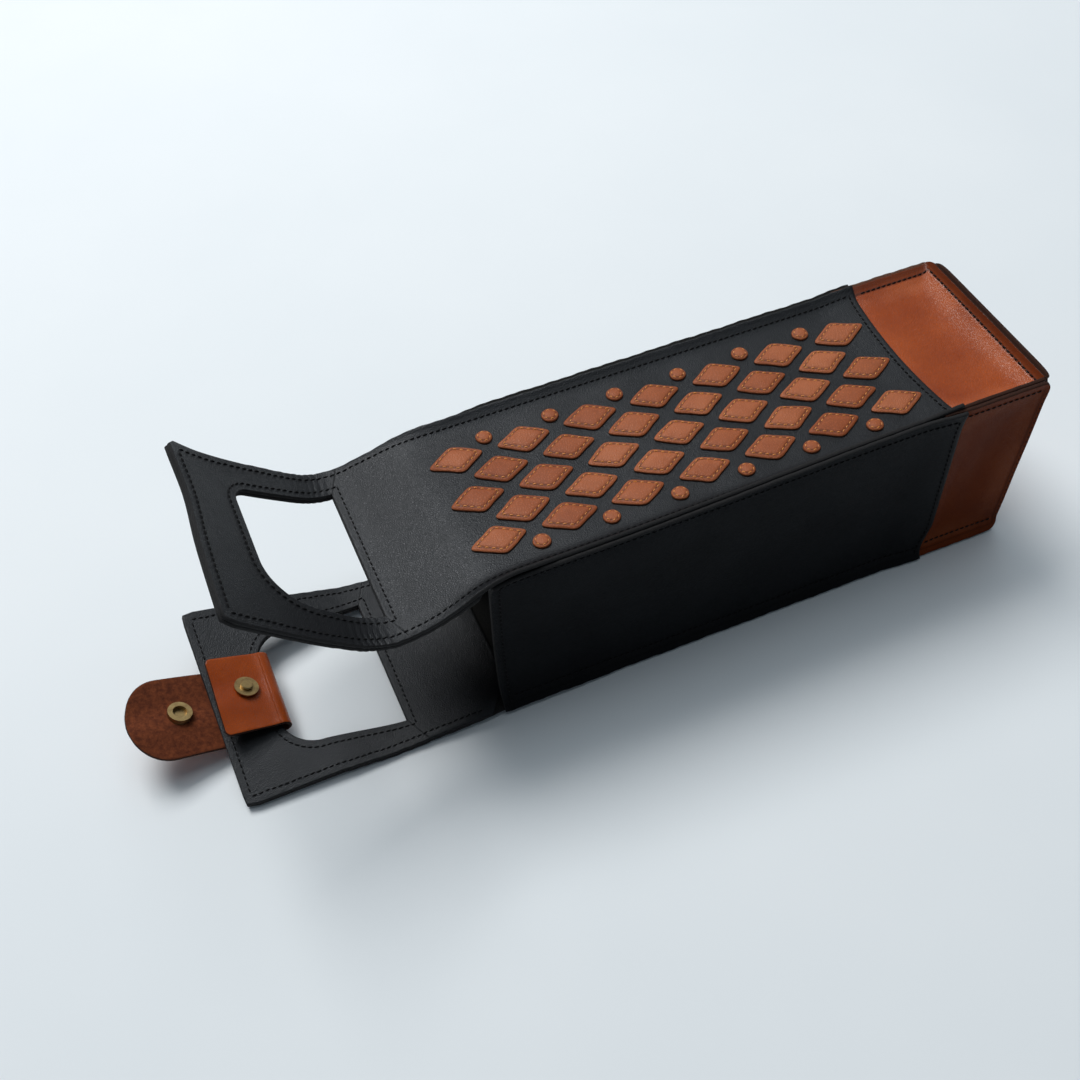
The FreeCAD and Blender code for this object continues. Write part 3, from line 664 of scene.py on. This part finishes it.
def front_surface(l, q):
    """The flesh side of the front strip: a tube wall along a curve that dips past the mouth, then rises.

    The margins flatten past the mouth; the far edge rides a little higher over the dip, and the handle's legs
    are creased across where they bend.  The bar's edge is drawn in on the far half.
    """
    l = l - (1.8 * bell(q, 20.0, 20.0) - 0.03 * (20.0 - q)) * ease(366.0, 390.0, l)
    low_turn, high_turn = (turn * (1.0 - ease(*FIN_OPENS, l)) for turn in wall_turns("front", l))
    station, across, rise = tube_wall(l, q, low_turn, high_turn, STRIP_SOFT, STRIP_SOFT)
    hollow = 0.9 * belly(q) * hump(50.0, 90.0, 235.0, 275.0, l)
    crease = 0.1 * hump(314.0, 319.0, 326.0, 346.0, l) * ease(34.0, 37.0, np.abs(q))
    crease = crease * waves(l + 0.9 * np.sin(q / 3.1) + 0.9 * np.sin(l / 3.7), 3.2, 0.0)
    web = 0.45 * ease(45.0, 36.0, np.abs(q)) * ease(300.0, 255.0, l)
    rise = rise + lap_lift(l) + crease - hollow + web * lumps(l, q, 5)
    tilt = 1.3 * (q / 48.0) * hump(266.0, 300.0, 335.0, 375.0, l)
    flick = 2.2 * ease(376.0, 397.0, l) * ease(26.0, 50.0, q)
    slope, run, lift = (np.interp(l, front_run_l, curve) for curve in (front_slope, front_run, front_lift))
    height = AXIS + INNER + lift + rise * np.cos(slope) + tilt + flick
    return abreast(FOOT - station - (run - l) + rise * np.sin(slope), across, height)


def tongue_end(q):
    """Where a tongue ends: straight across between the legs, slanting back to the edge on each leg."""
    return TONGUE_END - 6.0 * np.clip((np.abs(q) - LEG_HALF) / 13.0, 0.0, 1.0)


def strip_start(units):
    """Where a long strip starts on the brown: an edge that bows back towards its sides."""
    return STRIP_START - STRIP_BOW * units ** 2


strip_units = crowded(0.84, 0.011, 0.026)
strip_share = np.linspace(0.0, 1.0, 215)[:, None]


def long_strip(label, surface, half, sewn_by_edge):
    """A long strip from foot edge to tongue end; its seam keeps to the cut edge or to the fold."""
    start = strip_start(strip_units * 1.02)
    l = between(start, tongue_end(strip_units * STRIP_HALF), strip_share)
    q = strip_units * half(l)
    edge = half(l) - np.abs(q)
    side_row = (edge, FIN - SEWN_PAST) if sewn_by_edge else (np.abs(q) - INNER, SEWN_PAST)
    piece = leather_sheet(label + "_leather", surface, l, q, (0.0, LEATHER), BLACK_LEATHER,
                          seam=sewn_marks(side_row, (l - start, LAP_ROW)), worn=0.5 * ease(2.2, 0.6, edge))
    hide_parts(label + "_panel")
    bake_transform(piece)


def bend_ends(reach, bag_height, handle_height):
    """Two points, in metres, at reach to either side of a strip's hinge: one at the bag's height, one at the
    handle's.
    """
    in_bag = Vector((MM * (HINGE + reach), 0.0, bag_height))
    in_handle = Vector((MM * (HINGE - reach), 0.0, handle_height))
    return in_bag, in_handle


FRONT_BEND = bend_ends(27.0, 0.085, 0.1)
long_strip("front", front_surface, front_half, True)


def tongue_lining(label, surface, half):
    """The inner layer of a tongue: the same surface from inside the mouth to its end, moved inwards.

    It starts narrow between the side walls and widens to the tongue's full width outside the mouth.
    """
    units = np.linspace(-1.0, 1.0, 60)
    l = between(MOUTH - 6.0, tongue_end(units * STRIP_HALF), np.linspace(0.0, 1.0, 46)[:, None])
    q = units * np.minimum(half(l), 41.0 + 9.5 * ease(MOUTH - 1.0, MOUTH + 9.0, l))
    piece = leather_sheet(label + "_tongue_inside", surface, l, q, (-LEATHER, -LAYER_GAP), LINING)
    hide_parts(label + "_tongue_lining")
    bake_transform(piece)


tongue_lining("front", front_surface, front_half)

# Front handle: a U of two black layers sewn together, with a wide hand hole and raw rounded edges.
# Its legs are joined to the tongue along slanting seams, and the leather's stiffness holds it up.
OUTER_POWER = 40.0
EDGE_ROW = 3.3
HOLE_ROW = 3.3
FRONT_CUT = {"window": 364.6 + SHIFT, "end": 390.0 + SHIFT, "corners": (22.0, 9.0), "taper": 3.5}


def half_handle(half, cut, corner):
    """Half of a U-shaped handle as rows of (l, q): the hand hole's border and the outer one, leg to bar.

    The leg widens by the taper; the corner is a fan from the centre of the hand hole's rounded corner, whose
    outer reach is a rectangle with its corner rounded by a high power; the bar is straight.
    """
    fan = np.linspace(0.0, math.pi / 2, 22)
    centre_l = cut["window"] - corner
    centre_q = LEG_HALF - cut["taper"] - corner
    leg_share = np.linspace(0.0, 1.0, 110)[:-1]
    leg_in = abreast(between(TONGUE_END, centre_l, leg_share), LEG_HALF - cut["taper"] * leg_share)
    leg_out_l = between(tongue_end(STRIP_HALF), centre_l, leg_share)
    leg_out = abreast(leg_out_l, half(leg_out_l))
    side_part = np.cos(fan) / (half(centre_l) - centre_q)
    end_part = np.sin(fan) / (cut["end"] - centre_l)
    reach = (side_part ** OUTER_POWER + end_part ** OUTER_POWER) ** (-1 / OUTER_POWER)
    centre = np.array([centre_l, centre_q])
    spoke = abreast(np.sin(fan), np.cos(fan))
    bar_q = np.linspace(centre_q, 0.0, 18)[1:]
    inner = np.concatenate([leg_in, centre + corner * spoke, abreast(cut["window"], bar_q)])
    outer = np.concatenate([leg_out, centre + reach[:, None] * spoke, abreast(cut["end"], bar_q)])
    return inner, outer


def handle_grid(half, cut):
    """A U-shaped handle as l and q grids: rows run round the U, columns from hand hole to outer edge."""
    low, high = (half_handle(half, cut, corner) for corner in cut["corners"])
    mirror = np.array([1.0, -1.0])
    inner, outer = (np.concatenate([far, (near * mirror)[-2::-1]]) for near, far in zip(low, high))
    share = 0.5 - 0.5 * np.cos(np.linspace(0.0, math.pi, 13))
    grid = between(inner[:, None], outer[:, None], share[None, :, None])
    return grid[..., 0], grid[..., 1]


def handle_layers(label, surface, half, cut):
    """Both layers of a handle: the outer one stands on the surface, the lining hangs under it."""
    l, q = handle_grid(half, cut)
    gap = np.minimum(half(l) - np.abs(q), cut["end"] - l)
    corner = np.where(q < 0.0, *cut["corners"])
    corner_l = np.clip(l - cut["window"] + corner, 0.0, None)
    narrowed = cut["taper"] * np.clip((l - TONGUE_END) / (cut["window"] - corner - TONGUE_END), 0.0, 1.0)
    corner_q = np.clip(np.abs(q) - LEG_HALF + narrowed + corner, 0.0, None)
    window = np.hypot(corner_l, corner_q) - corner
    seam = sewn_marks((gap, EDGE_ROW), (window, HOLE_ROW))
    worn = 0.4 * np.clip(ease(2.0, 0.4, gap) + ease(1.6, 0.2, window), 0.0, 1.0)
    layers = (("outer", (LAYER_GAP, LEATHER), BLACK_LEATHER), ("lining", (-LEATHER, -LAYER_GAP), LINING))
    for layer, lifts, leathers in layers:
        name = f"{label}_handle_{layer}"
        piece = leather_sheet(name + "_leather", surface, l, q, lifts, leathers, 0.4, seam, worn)
        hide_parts(name)
        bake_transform(piece)


handle_layers("front", front_surface, front_half, FRONT_CUT)

# Back panel, its lining and the back handle: the same cut as the front, lying underneath.
# Its fins rest on the table; past the mouth it sags, and the handle lifts and twists, far side up.
BACK_RISE = math.radians(6.5)
BACK_HEIGHT = 5.5
TWIST = 11.7
BACK_CUT = {"window": 369.6 + SHIFT, "end": 395.0 + SHIFT, "corners": (18.0, 18.0), "taper": 4.5}


def back_half(l):
    """Half of the back strip's width on the leather, trimmed a little on the tongue and handle."""
    return INNER + 6.2 - 0.7 * ease(330.0, 396.0, l) + 0.25 * ragged(l, 23)


def back_middle(station):
    """Height of the back strip's middle line: level in the tube, sagging at the tongue, then rising."""
    sag = 2.0 * hump(268.0, 300.0, 318.0, 352.0, station)
    return BACK_HEIGHT + math.tan(BACK_RISE) * past(station - 317.0, 3.0) - sag


def back_surface(l, q):
    """The hollow's face of the back strip; across is counted the other way, so that its grain looks down.

    A tube wall whose fins flatten past the mouth, on the middle line's height, turned about that line by a
    twist that grows towards the handle's end.
    """
    turn = (math.radians(TURNS["back"][0]) - splay(l)) * (1.0 - ease(*FIN_OPENS, l))
    station, across, rise = tube_wall(l, q, turn, turn, STRIP_SOFT, STRIP_SOFT, fold=BACK_FOLD)
    far = -across
    twist = TWIST * np.clip((station - 298.0) / 96.0, 0.0, 1.4) ** 1.2 * far / 48.5
    short = np.clip(station - HINGE_STATION, 0.0, None) * (1.0 - math.cos(BACK_RISE))
    height = back_middle(station) + twist - rise - 0.25 * lap_lift(l)
    return abreast(FOOT - station + short, far, height)


BACK_BEND = bend_ends(13.0, 0.0055, 0.0055)
long_strip("back", back_surface, back_half, False)
tongue_lining("back", back_surface, back_half)
handle_layers("back", back_surface, back_half, BACK_CUT)

# Grip wrap: a strap of brown leather sewn under the bar of the back handle, grain out, with two free flaps.
# The short flap comes up round the hand hole's edge over the bar; the long one sticks out past the end.
WRAP_HALF = 18.8
suede = fibre_material("brown_suede", (0.065, 0.014, 0.005), (0.16, 0.04, 0.013), 0.95, 420.0, 0.05)
WRAP = (brown_grain, brown_edge, suede)
BEND_L = 368.9 + SHIFT
BEND_UP = 1.25
BEND_RADIUS = 3.95
STRAP_UP = -2.7
STRAP_END = 388.0


def on_bar(l, q, up):
    """Part coordinates of a place near the back handle: up from its middle surface at l and q.

    Close to the middle line the twist is eased out, so that the flaps lie flat round the press stud.
    """
    level = back_surface(l, 0.0 * q)
    plain = abreast(level[..., 0], q, level[..., 2])
    seat = between(back_surface(l, -q), plain, bell(q, 0.0, 9.0)[..., None])
    return seat - up[..., None] * facing(back_surface, l, -q)


def running(steps):
    """The running total of some steps, from zero."""
    return np.concatenate([[0.0], np.cumsum(steps)])


def wrap_part(name, line_l, line_up, half, corner=None, grain_up=False):
    """A stretch of the wrap: its centre line (l and up) thickened and carried across its width.

    The grain looks down, or up where it lies over the bar; a corner radius rounds the free end.
    """
    heading = unit(abreast(np.gradient(line_l), np.gradient(line_up)))
    reach = running(np.hypot(np.diff(line_l), np.diff(line_up)))
    width = np.full_like(reach, half)
    if corner:
        short = np.clip(corner - (reach[-1] - reach), 0.0, corner)
        width = half - corner + np.sqrt(np.clip(corner ** 2 - short ** 2, 0.0, None))
    q = width[:, None] * np.linspace(-1.0, 1.0, 41)
    sides = []
    for turn in (0.5 * LEATHER, -0.5 * LEATHER):
        side_l = line_l + turn * heading[:, 1]
        side_up = line_up - turn * heading[:, 0]
        sides.append(on_bar(side_l[:, None], q, side_up[:, None])[None])
    if grain_up:
        return leather_slabs(name, *sides, WRAP)
    return leather_slabs(name, sides[1][:, :, ::-1], sides[0][:, :, ::-1], WRAP)


strap_turn = np.linspace(math.pi / 2, 3 * math.pi / 2, 26)
strap_flat = np.linspace(BEND_L + 1.0, STRAP_END, 20)
strap_l = np.concatenate([BEND_L + BEND_RADIUS * np.cos(strap_turn), strap_flat])
strap_up = np.concatenate([BEND_UP + BEND_RADIUS * np.sin(strap_turn), np.full(20, STRAP_UP)])
strap = wrap_part("grip_strap", strap_l, strap_up, WRAP_HALF)
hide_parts("grip_wrap")
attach(strap, "back_handle")

FLAP_RISE = math.radians(16.0)
FLAP_ROOT = 386.0
FLAP_LENGTH = 50.5
FLAP_HALF = 18.6
FLAP_CORNER = 18.0


def flap_line(length, corner, steps, root_l, root_up, bend):
    """Centre line of a flap, as l and up: it leaves its root level and turns up by FLAP_RISE along the bend.

    Its places are crowded towards the rounded end, so that the arc of its corners stays smooth.
    """
    arc = length - corner + corner * np.sin(np.linspace(0.0, math.pi / 2, 16))
    run = np.concatenate([np.linspace(0.0, length - corner, steps), arc[1:]])
    slope = FLAP_RISE * ease(*bend, run)
    middle = 0.5 * (slope[1:] + slope[:-1])
    return root_l + running(np.diff(run) * np.cos(middle)), root_up + running(np.diff(run) * np.sin(middle))


flap_l, flap_up = flap_line(FLAP_LENGTH, FLAP_CORNER, 40, FLAP_ROOT, STRAP_UP, (4.0, 13.0))
outer_flap = wrap_part("outer_flap_leather", flap_l, flap_up, FLAP_HALF, FLAP_CORNER)
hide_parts("wrap_outer_flap")
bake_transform(outer_flap)

LID_LENGTH = 25.6
LID_CORNER = 2.5
lid_l, lid_up = flap_line(LID_LENGTH, LID_CORNER, 24, BEND_L - 0.3, BEND_UP + BEND_RADIUS, (0.0, 5.0))
inner_flap = wrap_part("inner_flap_leather", lid_l, lid_up, WRAP_HALF, LID_CORNER, True)
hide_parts("wrap_inner_flap")
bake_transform(inner_flap)

# Press stud: two halves of aged brass, riveted through the flaps, that click together round the bar.
# The cap and socket are on the long flap, the stud and its post on the short one.
BRASS_BRIGHT = (0.52, 0.37, 0.16)
BRASS_TARNISH = (0.16, 0.10, 0.05)
brass, brass_tree, brass_shader = new_material("aged_brass")
brass_tone = placed_group(brass_tree, cloud_tree, 260.0)["Tone"]
wire(brass_tree, brass_shader, {
    "Base Color": mixed(brass_tree, brass_tone, BRASS_TARNISH, BRASS_BRIGHT),
    "Metallic": 1.0,
    "Roughness": scaled(brass_tree, brass_tone, -0.2, 0.5),
})
for node in ("snap_cap", "snap_socket", "snap_stud", "snap_post"):
    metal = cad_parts[node]
    metal.data.materials.clear()
    metal.data.materials.append(brass)

# Patches: lozenges and small discs of soft brown leather, cut by hand and sewn flat on the front panel.
# They stand in staggered rows and differ a little in tone, size and turn.
PATCH_LEATHER = 1.3
PATCH_TONES = {
    "deep": (0.26, 0.058, 0.014),
    "pale": (0.36, 0.092, 0.026),
    "dark": (0.06, 0.015, 0.006),
    "rubbed": (0.42, 0.13, 0.05),
}
patch_grain = grain_material("patch_grain", PATCH_TONES, 0.5, 900.0, 0.25, 0.25)
patch_edge = fibre_material("patch_cut_edge", (0.07, 0.02, 0.009), (0.17, 0.058, 0.026), 0.85, 2000.0)
PATCH_ROWS = 13
ROW_PITCH = 16.0
FIRST_ROW = 66.0 + SHIFT
COLUMN_PITCH = 25.0
LOZENGE = (13.5, 8.5)
DISC_RADIUS = 3.8
DISC_PLACE = 33.0
SUNK = 0.05


def patch_slabs(name, centres, half, power, slanted, seed):
    """Puffy patches on the front panel from square grids, all in one mesh.

    A square with rounded corners is turned to a lozenge where slanted, scaled to its half sizes with a wavy
    outline, laid on the leather, and raised to a crown with a groove along the stitches.
    """
    chance = np.random.default_rng(seed)
    across, along, border = rounded_square(crowded(0.6, 0.08, 0.13), power, 1e-9)
    if slanted:
        across, along = 0.5 * (across - along), 0.5 * (across + along)
    each = (len(centres), 1, 1)
    grow = chance.uniform(0.965, 1.02, each)
    turn = chance.normal(0.0, 0.035, each)
    phase = chance.uniform(0.0, 2.0 * math.pi, (2, *each))
    angle = np.arctan2(along, across)
    wave = 1.0 + 0.012 * np.sin(3.0 * angle + phase[0]) + 0.01 * np.sin(5.0 * angle + phase[1])
    step_l = half[0] * grow * wave * along
    step_q = half[1] * grow * wave * across
    l = centres[:, 0, None, None] + step_l * np.cos(turn) - step_q * np.sin(turn)
    q = centres[:, 1, None, None] + step_q * np.cos(turn) + step_l * np.sin(turn)
    seat = front_surface(l, q)
    up = facing(front_surface, l, q)
    crown = 0.75 * (1.0 - border ** 2) - 0.35 * bell(border, 0.78, 0.07) - 0.5 * ease(0.88, 1.0, border)
    grain = seat + (LEATHER + PATCH_LEATHER + crown)[..., None] * up
    flesh = seat + (LEATHER - SUNK) * up
    # Each patch's rubbed tone fades near its groove, and the seam mark darkens the stitched groove: the
    # stitch holes, and painted shade in the groove and at the crown's edge.
    tone = chance.uniform(0.0, 0.9, each) * (1.0 - 0.4 * bell(border, 0.8, 0.12))
    seam = 0.85 * bell(border, 0.78, 0.06) + 0.0 * tone
    piece = leather_slabs(name, flesh, grain, (patch_grain, patch_edge, brown_flesh), 0.2, seam, tone)
    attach(piece, "bag")
    return piece


def crossings(rows, pitch, columns):
    """Centres, as l and q, where some rows meet some columns, which are counted in pitches."""
    return np.concatenate([abreast(rows, column * pitch) for column in columns])


row_l = FIRST_ROW + ROW_PITCH * np.arange(PATCH_ROWS)
lozenge_spots = np.concatenate([crossings(row_l[::2], COLUMN_PITCH, (-1.0, 0.0, 1.0)),
                                crossings(row_l[1::2], COLUMN_PITCH, (-0.5, 0.5))])
disc_spots = crossings(row_l[1::2], DISC_PLACE, (-1.0, 1.0))
lozenges = patch_slabs("lozenge_patches", lozenge_spots, LOZENGE, 7.0, True, 21)
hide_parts("patch_lozenges")
discs = patch_slabs("disc_patches", disc_spots, (DISC_RADIUS, DISC_RADIUS), 2.0, False, 22)
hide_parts("patch_discs")

# Threads: every seam is sewn by hand with thick waxed thread, black on the black and brown leather.
# The patches have a finer orange-brown thread; each stitch is a short arched strand, sunk at both ends.
THREAD = 0.36
STITCH_PITCH = 3.0
HANDS = (-1.0, 1.0)
SEAM_CLEAR = 1.5
LAP_HALF = 45.5
END_HALF = 43.5
INSIDE_HALF = 39.0
LIP_ROW = 3.4
PATCH_ROW = 0.76
DISC_STITCH = 2.7
strand_rings = np.array([-1.0, -0.72, 0.0, 0.72, 1.0])
strand_girth = np.array([0.5, 0.92, 1.0, 0.92, 0.5])
strand_round = np.linspace(0.0, 2.0 * math.pi, 7)[:-1]


def stitch_row(surface, l, q, lift, pitch=STITCH_PITCH, slant=0.12):
    """Places, headings and normals of stitches at even steps along a path of l and q on the leather's face.

    Either of l and q may be one number; a lift below zero puts them on the other face.
    """
    l, q = np.broadcast_arrays(l, q)
    normal = facing(surface, l, q) * math.copysign(1.0, lift)
    path = surface(l, q) + abs(lift) * normal
    run = running(np.linalg.norm(np.diff(path, axis=0), axis=-1))
    count = max(2, int(round(run[-1] / pitch)))
    at = (np.arange(count) + 0.5) * run[-1] / count

    def along_run(reach, values):
        return abreast(*(np.interp(reach, run, column) for column in values.T))

    up = unit(along_run(at, normal))
    ahead = along_run(at + 0.4, path) - along_run(at - 0.4, path)
    ahead = unit(ahead - np.sum(ahead * up, axis=-1, keepdims=True) * up)
    return along_run(at, path), ahead * math.cos(slant) + np.cross(up, ahead) * math.sin(slant), up


def sewn(name, rows, material, length=2.3, girth=THREAD):
    """The stitches of some rows, given as for stitch_row, as one mesh of arched strands of five rings."""
    stitches = zip(*(stitch_row(*row) for row in rows))
    spot, ahead, up = (np.concatenate(parts)[:, None, None] for parts in stitches)
    rings = strand_rings[None, :, None, None]
    turn = strand_round[None, None, :, None]
    along = 0.5 * length * rings * ahead
    arch = girth * (0.75 - 1.25 * rings ** 2) * up
    ring = np.cos(turn) * np.cross(up, ahead) + np.sin(turn) * up
    points = spot + along + arch + girth * strand_girth[None, :, None, None] * ring
    each = strand_rings.size * strand_round.size
    cell = np.arange(each).reshape(strand_rings.size, strand_round.size)
    beside = np.roll(cell, -1, axis=1)
    quads = abreast(cell[:-1], beside[:-1], beside[1:], cell[1:]).reshape(-1, 4)
    start = each * np.arange(len(spot))[:, None, None]
    quads = (quads[None] + start).reshape(-1, 4).tolist()
    caps = (np.stack([cell[0, ::-1], cell[-1]])[None] + start).reshape(-1, 6).tolist()
    return new_piece(name, points.reshape(-1, 3), quads + caps, (material,))


BLACK_WAX = ((0.0015, 0.0015, 0.0018), (0.006, 0.006, 0.0065))
TAN_WAX = ((0.36, 0.10, 0.015), (0.80, 0.31, 0.06))
black_thread = fibre_material("black_thread", *BLACK_WAX, 0.7, 2600.0, 0.0, 0.15, (0.4, 0.0002))
tan_thread = fibre_material("tan_thread", *TAN_WAX, 0.38, 2600.0, 0.0, 0.5, (0.4, 0.0002))


def line(start, end):
    """Places from start to end at steps of about one millimetre."""
    return np.linspace(start, end, max(3, int(abs(end - start))))


def edge_rows(surface, side, along):
    """Rows along both edges of a wall: past the fold, or just above it along the table."""
    low, high = (INNER - 1.5 if SIDE_LEAN.get(side) == -hand else INNER + SEWN_PAST for hand in HANDS)
    return [(surface, along, -low, LEATHER), (surface, along, high, LEATHER)]


foot_line = line(-INNER - SEWN_PAST + SEAM_CLEAR, INNER + SEWN_PAST - SEAM_CLEAR)
lap_line = line(-LAP_HALF, LAP_HALF)
bag_rows = []
for side, surface in band_surfaces.items():
    bag_rows += edge_rows(surface, side, line(FOOT_FOLD - SEWN_PAST + SEAM_CLEAR, 44.0))
    foot_row, lift = FOOT_FOLD - SEWN_PAST, LEATHER
    if side == "near":
        foot_row, lift = FOOT_FOLD - FOOT_MARGIN[side] + 1.0, LEATHER - 0.4
    bag_rows.append((surface, foot_row, foot_line, lift))
for side, surface in side_surfaces.items():
    bag_rows += edge_rows(surface, side, line(48.0 + SHIFT, MOUTH - 2.0))
    lap_l = side_start(SIDE_LEAN[side] * lap_line / 50.0) + LAP_ROW
    mouth_l = MOUTH - MOUTH_ROW
    bag_rows += [(surface, lap_l, lap_line, LEATHER), (surface, mouth_l, lap_line, LEATHER),
                 (surface, mouth_l, line(-INSIDE_HALF, INSIDE_HALF), -HEM_LEATHER)]
for base_row in (-INNER - SEWN_PAST, INNER + SEWN_PAST):
    bag_rows += [(base_surface, base_row, foot_line, LEATHER), (base_surface, foot_line, base_row, LEATHER)]
bag_stitches = sewn("bag_stitches", bag_rows, black_thread)
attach(bag_stitches, "bag")


def strip_rows(surface, half, cut):
    """Rows of a long strip: both edges from the foot seam to the handle's end, the lap, and the hand hole.

    From the mouth on the thread shows on the lining's face too.
    """
    rows = []
    edge_l = line(50.0 + SHIFT, cut["end"] - EDGE_ROW)
    lined = edge_l[edge_l > MOUTH + 10.0]
    sewn_q = between(INNER + SEWN_PAST, half(edge_l) - EDGE_ROW, ease(270.0, 300.0, edge_l))
    for hand in HANDS:
        rows.append((surface, edge_l, hand * sewn_q, LEATHER))
        rows.append((surface, lined, hand * (half(lined) - EDGE_ROW), -LEATHER))
    rows.append((surface, strip_start(lap_line / STRIP_HALF) + LAP_ROW, lap_line, LEATHER))
    turn = np.linspace(0.0, math.pi / 2, 30)
    hole = []
    for hand, corner in zip(HANDS, cut["corners"]):
        corner_l = cut["window"] - corner + (corner + HOLE_ROW) * np.sin(turn)
        corner_q = LEG_HALF - cut["taper"] - corner + (corner + HOLE_ROW) * np.cos(turn)
        leg_l = line(TONGUE_END - LIP_ROW, corner_l[0])[:-1]
        leg_q = np.linspace(LEG_HALF + HOLE_ROW, corner_q[0], leg_l.size)
        hole.append((np.concatenate([leg_l, corner_l]), hand * np.concatenate([leg_q, corner_q])))
    hole_l, hole_q = (np.concatenate([low, high[::-1]]) for low, high in zip(*hole))
    lip_q = line(-LEG_HALF - HOLE_ROW, LEG_HALF + HOLE_ROW)
    for lift in (LEATHER, -LEATHER):
        rows.append((surface, cut["end"] - EDGE_ROW, line(-END_HALF, END_HALF), lift))
        rows.append((surface, hole_l, hole_q, lift))
        rows.append((surface, TONGUE_END - LIP_ROW, lip_q, lift))
    return rows


for label, surface, half, cut, bend in (("front", front_surface, front_half, FRONT_CUT, FRONT_BEND),
                                        ("back", back_surface, back_half, BACK_CUT, BACK_BEND)):
    stitches = sewn(label + "_stitches", strip_rows(surface, half, cut), black_thread)
    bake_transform(stitches)

patch_lift = LEATHER + PATCH_LEATHER - SUNK
lozenge_share = np.linspace(0.0, 4.0, 61)
lozenge_l = PATCH_ROW * LOZENGE[0] * np.interp(lozenge_share, np.arange(5.0), (1.0, 0.0, -1.0, 0.0, 1.0))
lozenge_q = PATCH_ROW * LOZENGE[1] * np.interp(lozenge_share, np.arange(5.0), (0.0, 1.0, 0.0, -1.0, 0.0))
disc_turn = np.linspace(0.0, 2.0 * math.pi, 40)
disc_l = DISC_STITCH * np.cos(disc_turn)
disc_q = DISC_STITCH * np.sin(disc_turn)
patch_rows = [(front_surface, l + lozenge_l, q + lozenge_q, patch_lift) for l, q in lozenge_spots]
patch_rows += [(front_surface, l + disc_l, q + disc_q, patch_lift, 2.8) for l, q in disc_spots]
patch_stitches = sewn("patch_stitches", patch_rows, tan_thread, 1.8, 0.3)
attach(patch_stitches, "bag")

# Floor, light and camera: a pale table top, a large soft light from behind, an even light from above, a weak
# one from behind on the right, and a camera at the photograph's angle.
FLOOR_COLOUR = (0.70, 0.732, 0.757)
FLOOR_FLECK = (0.742, 0.767, 0.787)
FLOOR_HALF = 9000.0
ROOM_COLOUR = (0.74, 0.88, 1.0)
floor_points = FLOOR_HALF * np.array([[-1.0, -1.0, 0.0], [1.0, -1.0, 0.0], [1.0, 1.0, 0.0], [-1.0, 1.0, 0.0]])
floor_paint, floor_tree, floor_shader = new_material("pale_floor")
floor_tone = placed_group(floor_tree, cloud_tree, 3.0)["Tone"]
wire(floor_tree, floor_shader, {
    "Base Color": mixed(floor_tree, floor_tone, FLOOR_COLOUR, FLOOR_FLECK),
    "Roughness": 0.85,
    "Specular IOR Level": 0.1,
})
floor = new_piece("floor", floor_points, [[0, 1, 2, 3]], (floor_paint,))

world = bpy.data.worlds.new("room")
world.use_nodes = True
wire(world.node_tree, world.node_tree.nodes["Background"], {"Color": ROOM_COLOUR, "Strength": 0.15})
scene.world = world


def soft_light(name, place, aim, width, power, colour):
    """A square area light at place, in metres, that looks at aim."""
    data = bpy.data.lights.new(name, "AREA")
    data.shape = "SQUARE"
    data.size = width
    data.energy = power
    data.color = colour
    lamp = bpy.data.objects.new(name, data)
    lamp.location = place
    lamp.rotation_euler = (Vector(aim) - Vector(place)).to_track_quat("-Z", "Y").to_euler()
    scene.collection.objects.link(lamp)


soft_light("window_light", (-0.38, 1.22, 2.02), (0.0, 0.0, 0.05), 1.15, 42.0, (1.0, 0.988, 0.965))
soft_light("ceiling_light", (0.1, 1.1, 2.8), (0.1, 1.1, 0.0), 3.0, 45.0, (0.87, 0.95, 1.0))
soft_light("back_light", (1.35, 1.35, 0.65), (0.0, 0.0, 0.1), 1.5, 2.2, (0.97, 0.985, 1.0))

RIGHT = Vector((0.9191, -0.3928, -0.0305))
UP = Vector((0.3413, 0.7551, 0.5597))
FORWARD = Vector((0.1968, 0.5249, -0.8281))
EYE = Vector((MM * (FOOT - 359.5), -0.3355, 0.4777))
lens = bpy.data.cameras.new("camera")
lens.sensor_width = 36.0
lens.lens = 40.16
lens.shift_y = 0.1204
lens.clip_start = 0.01
camera = bpy.data.objects.new("camera", lens)
turned = Matrix((RIGHT, UP, -FORWARD)).transposed().to_4x4()
camera.matrix_world = Matrix.Translation(EYE) @ turned
scene.collection.objects.link(camera)
scene.camera = camera
scene.view_settings.view_transform = "Standard"
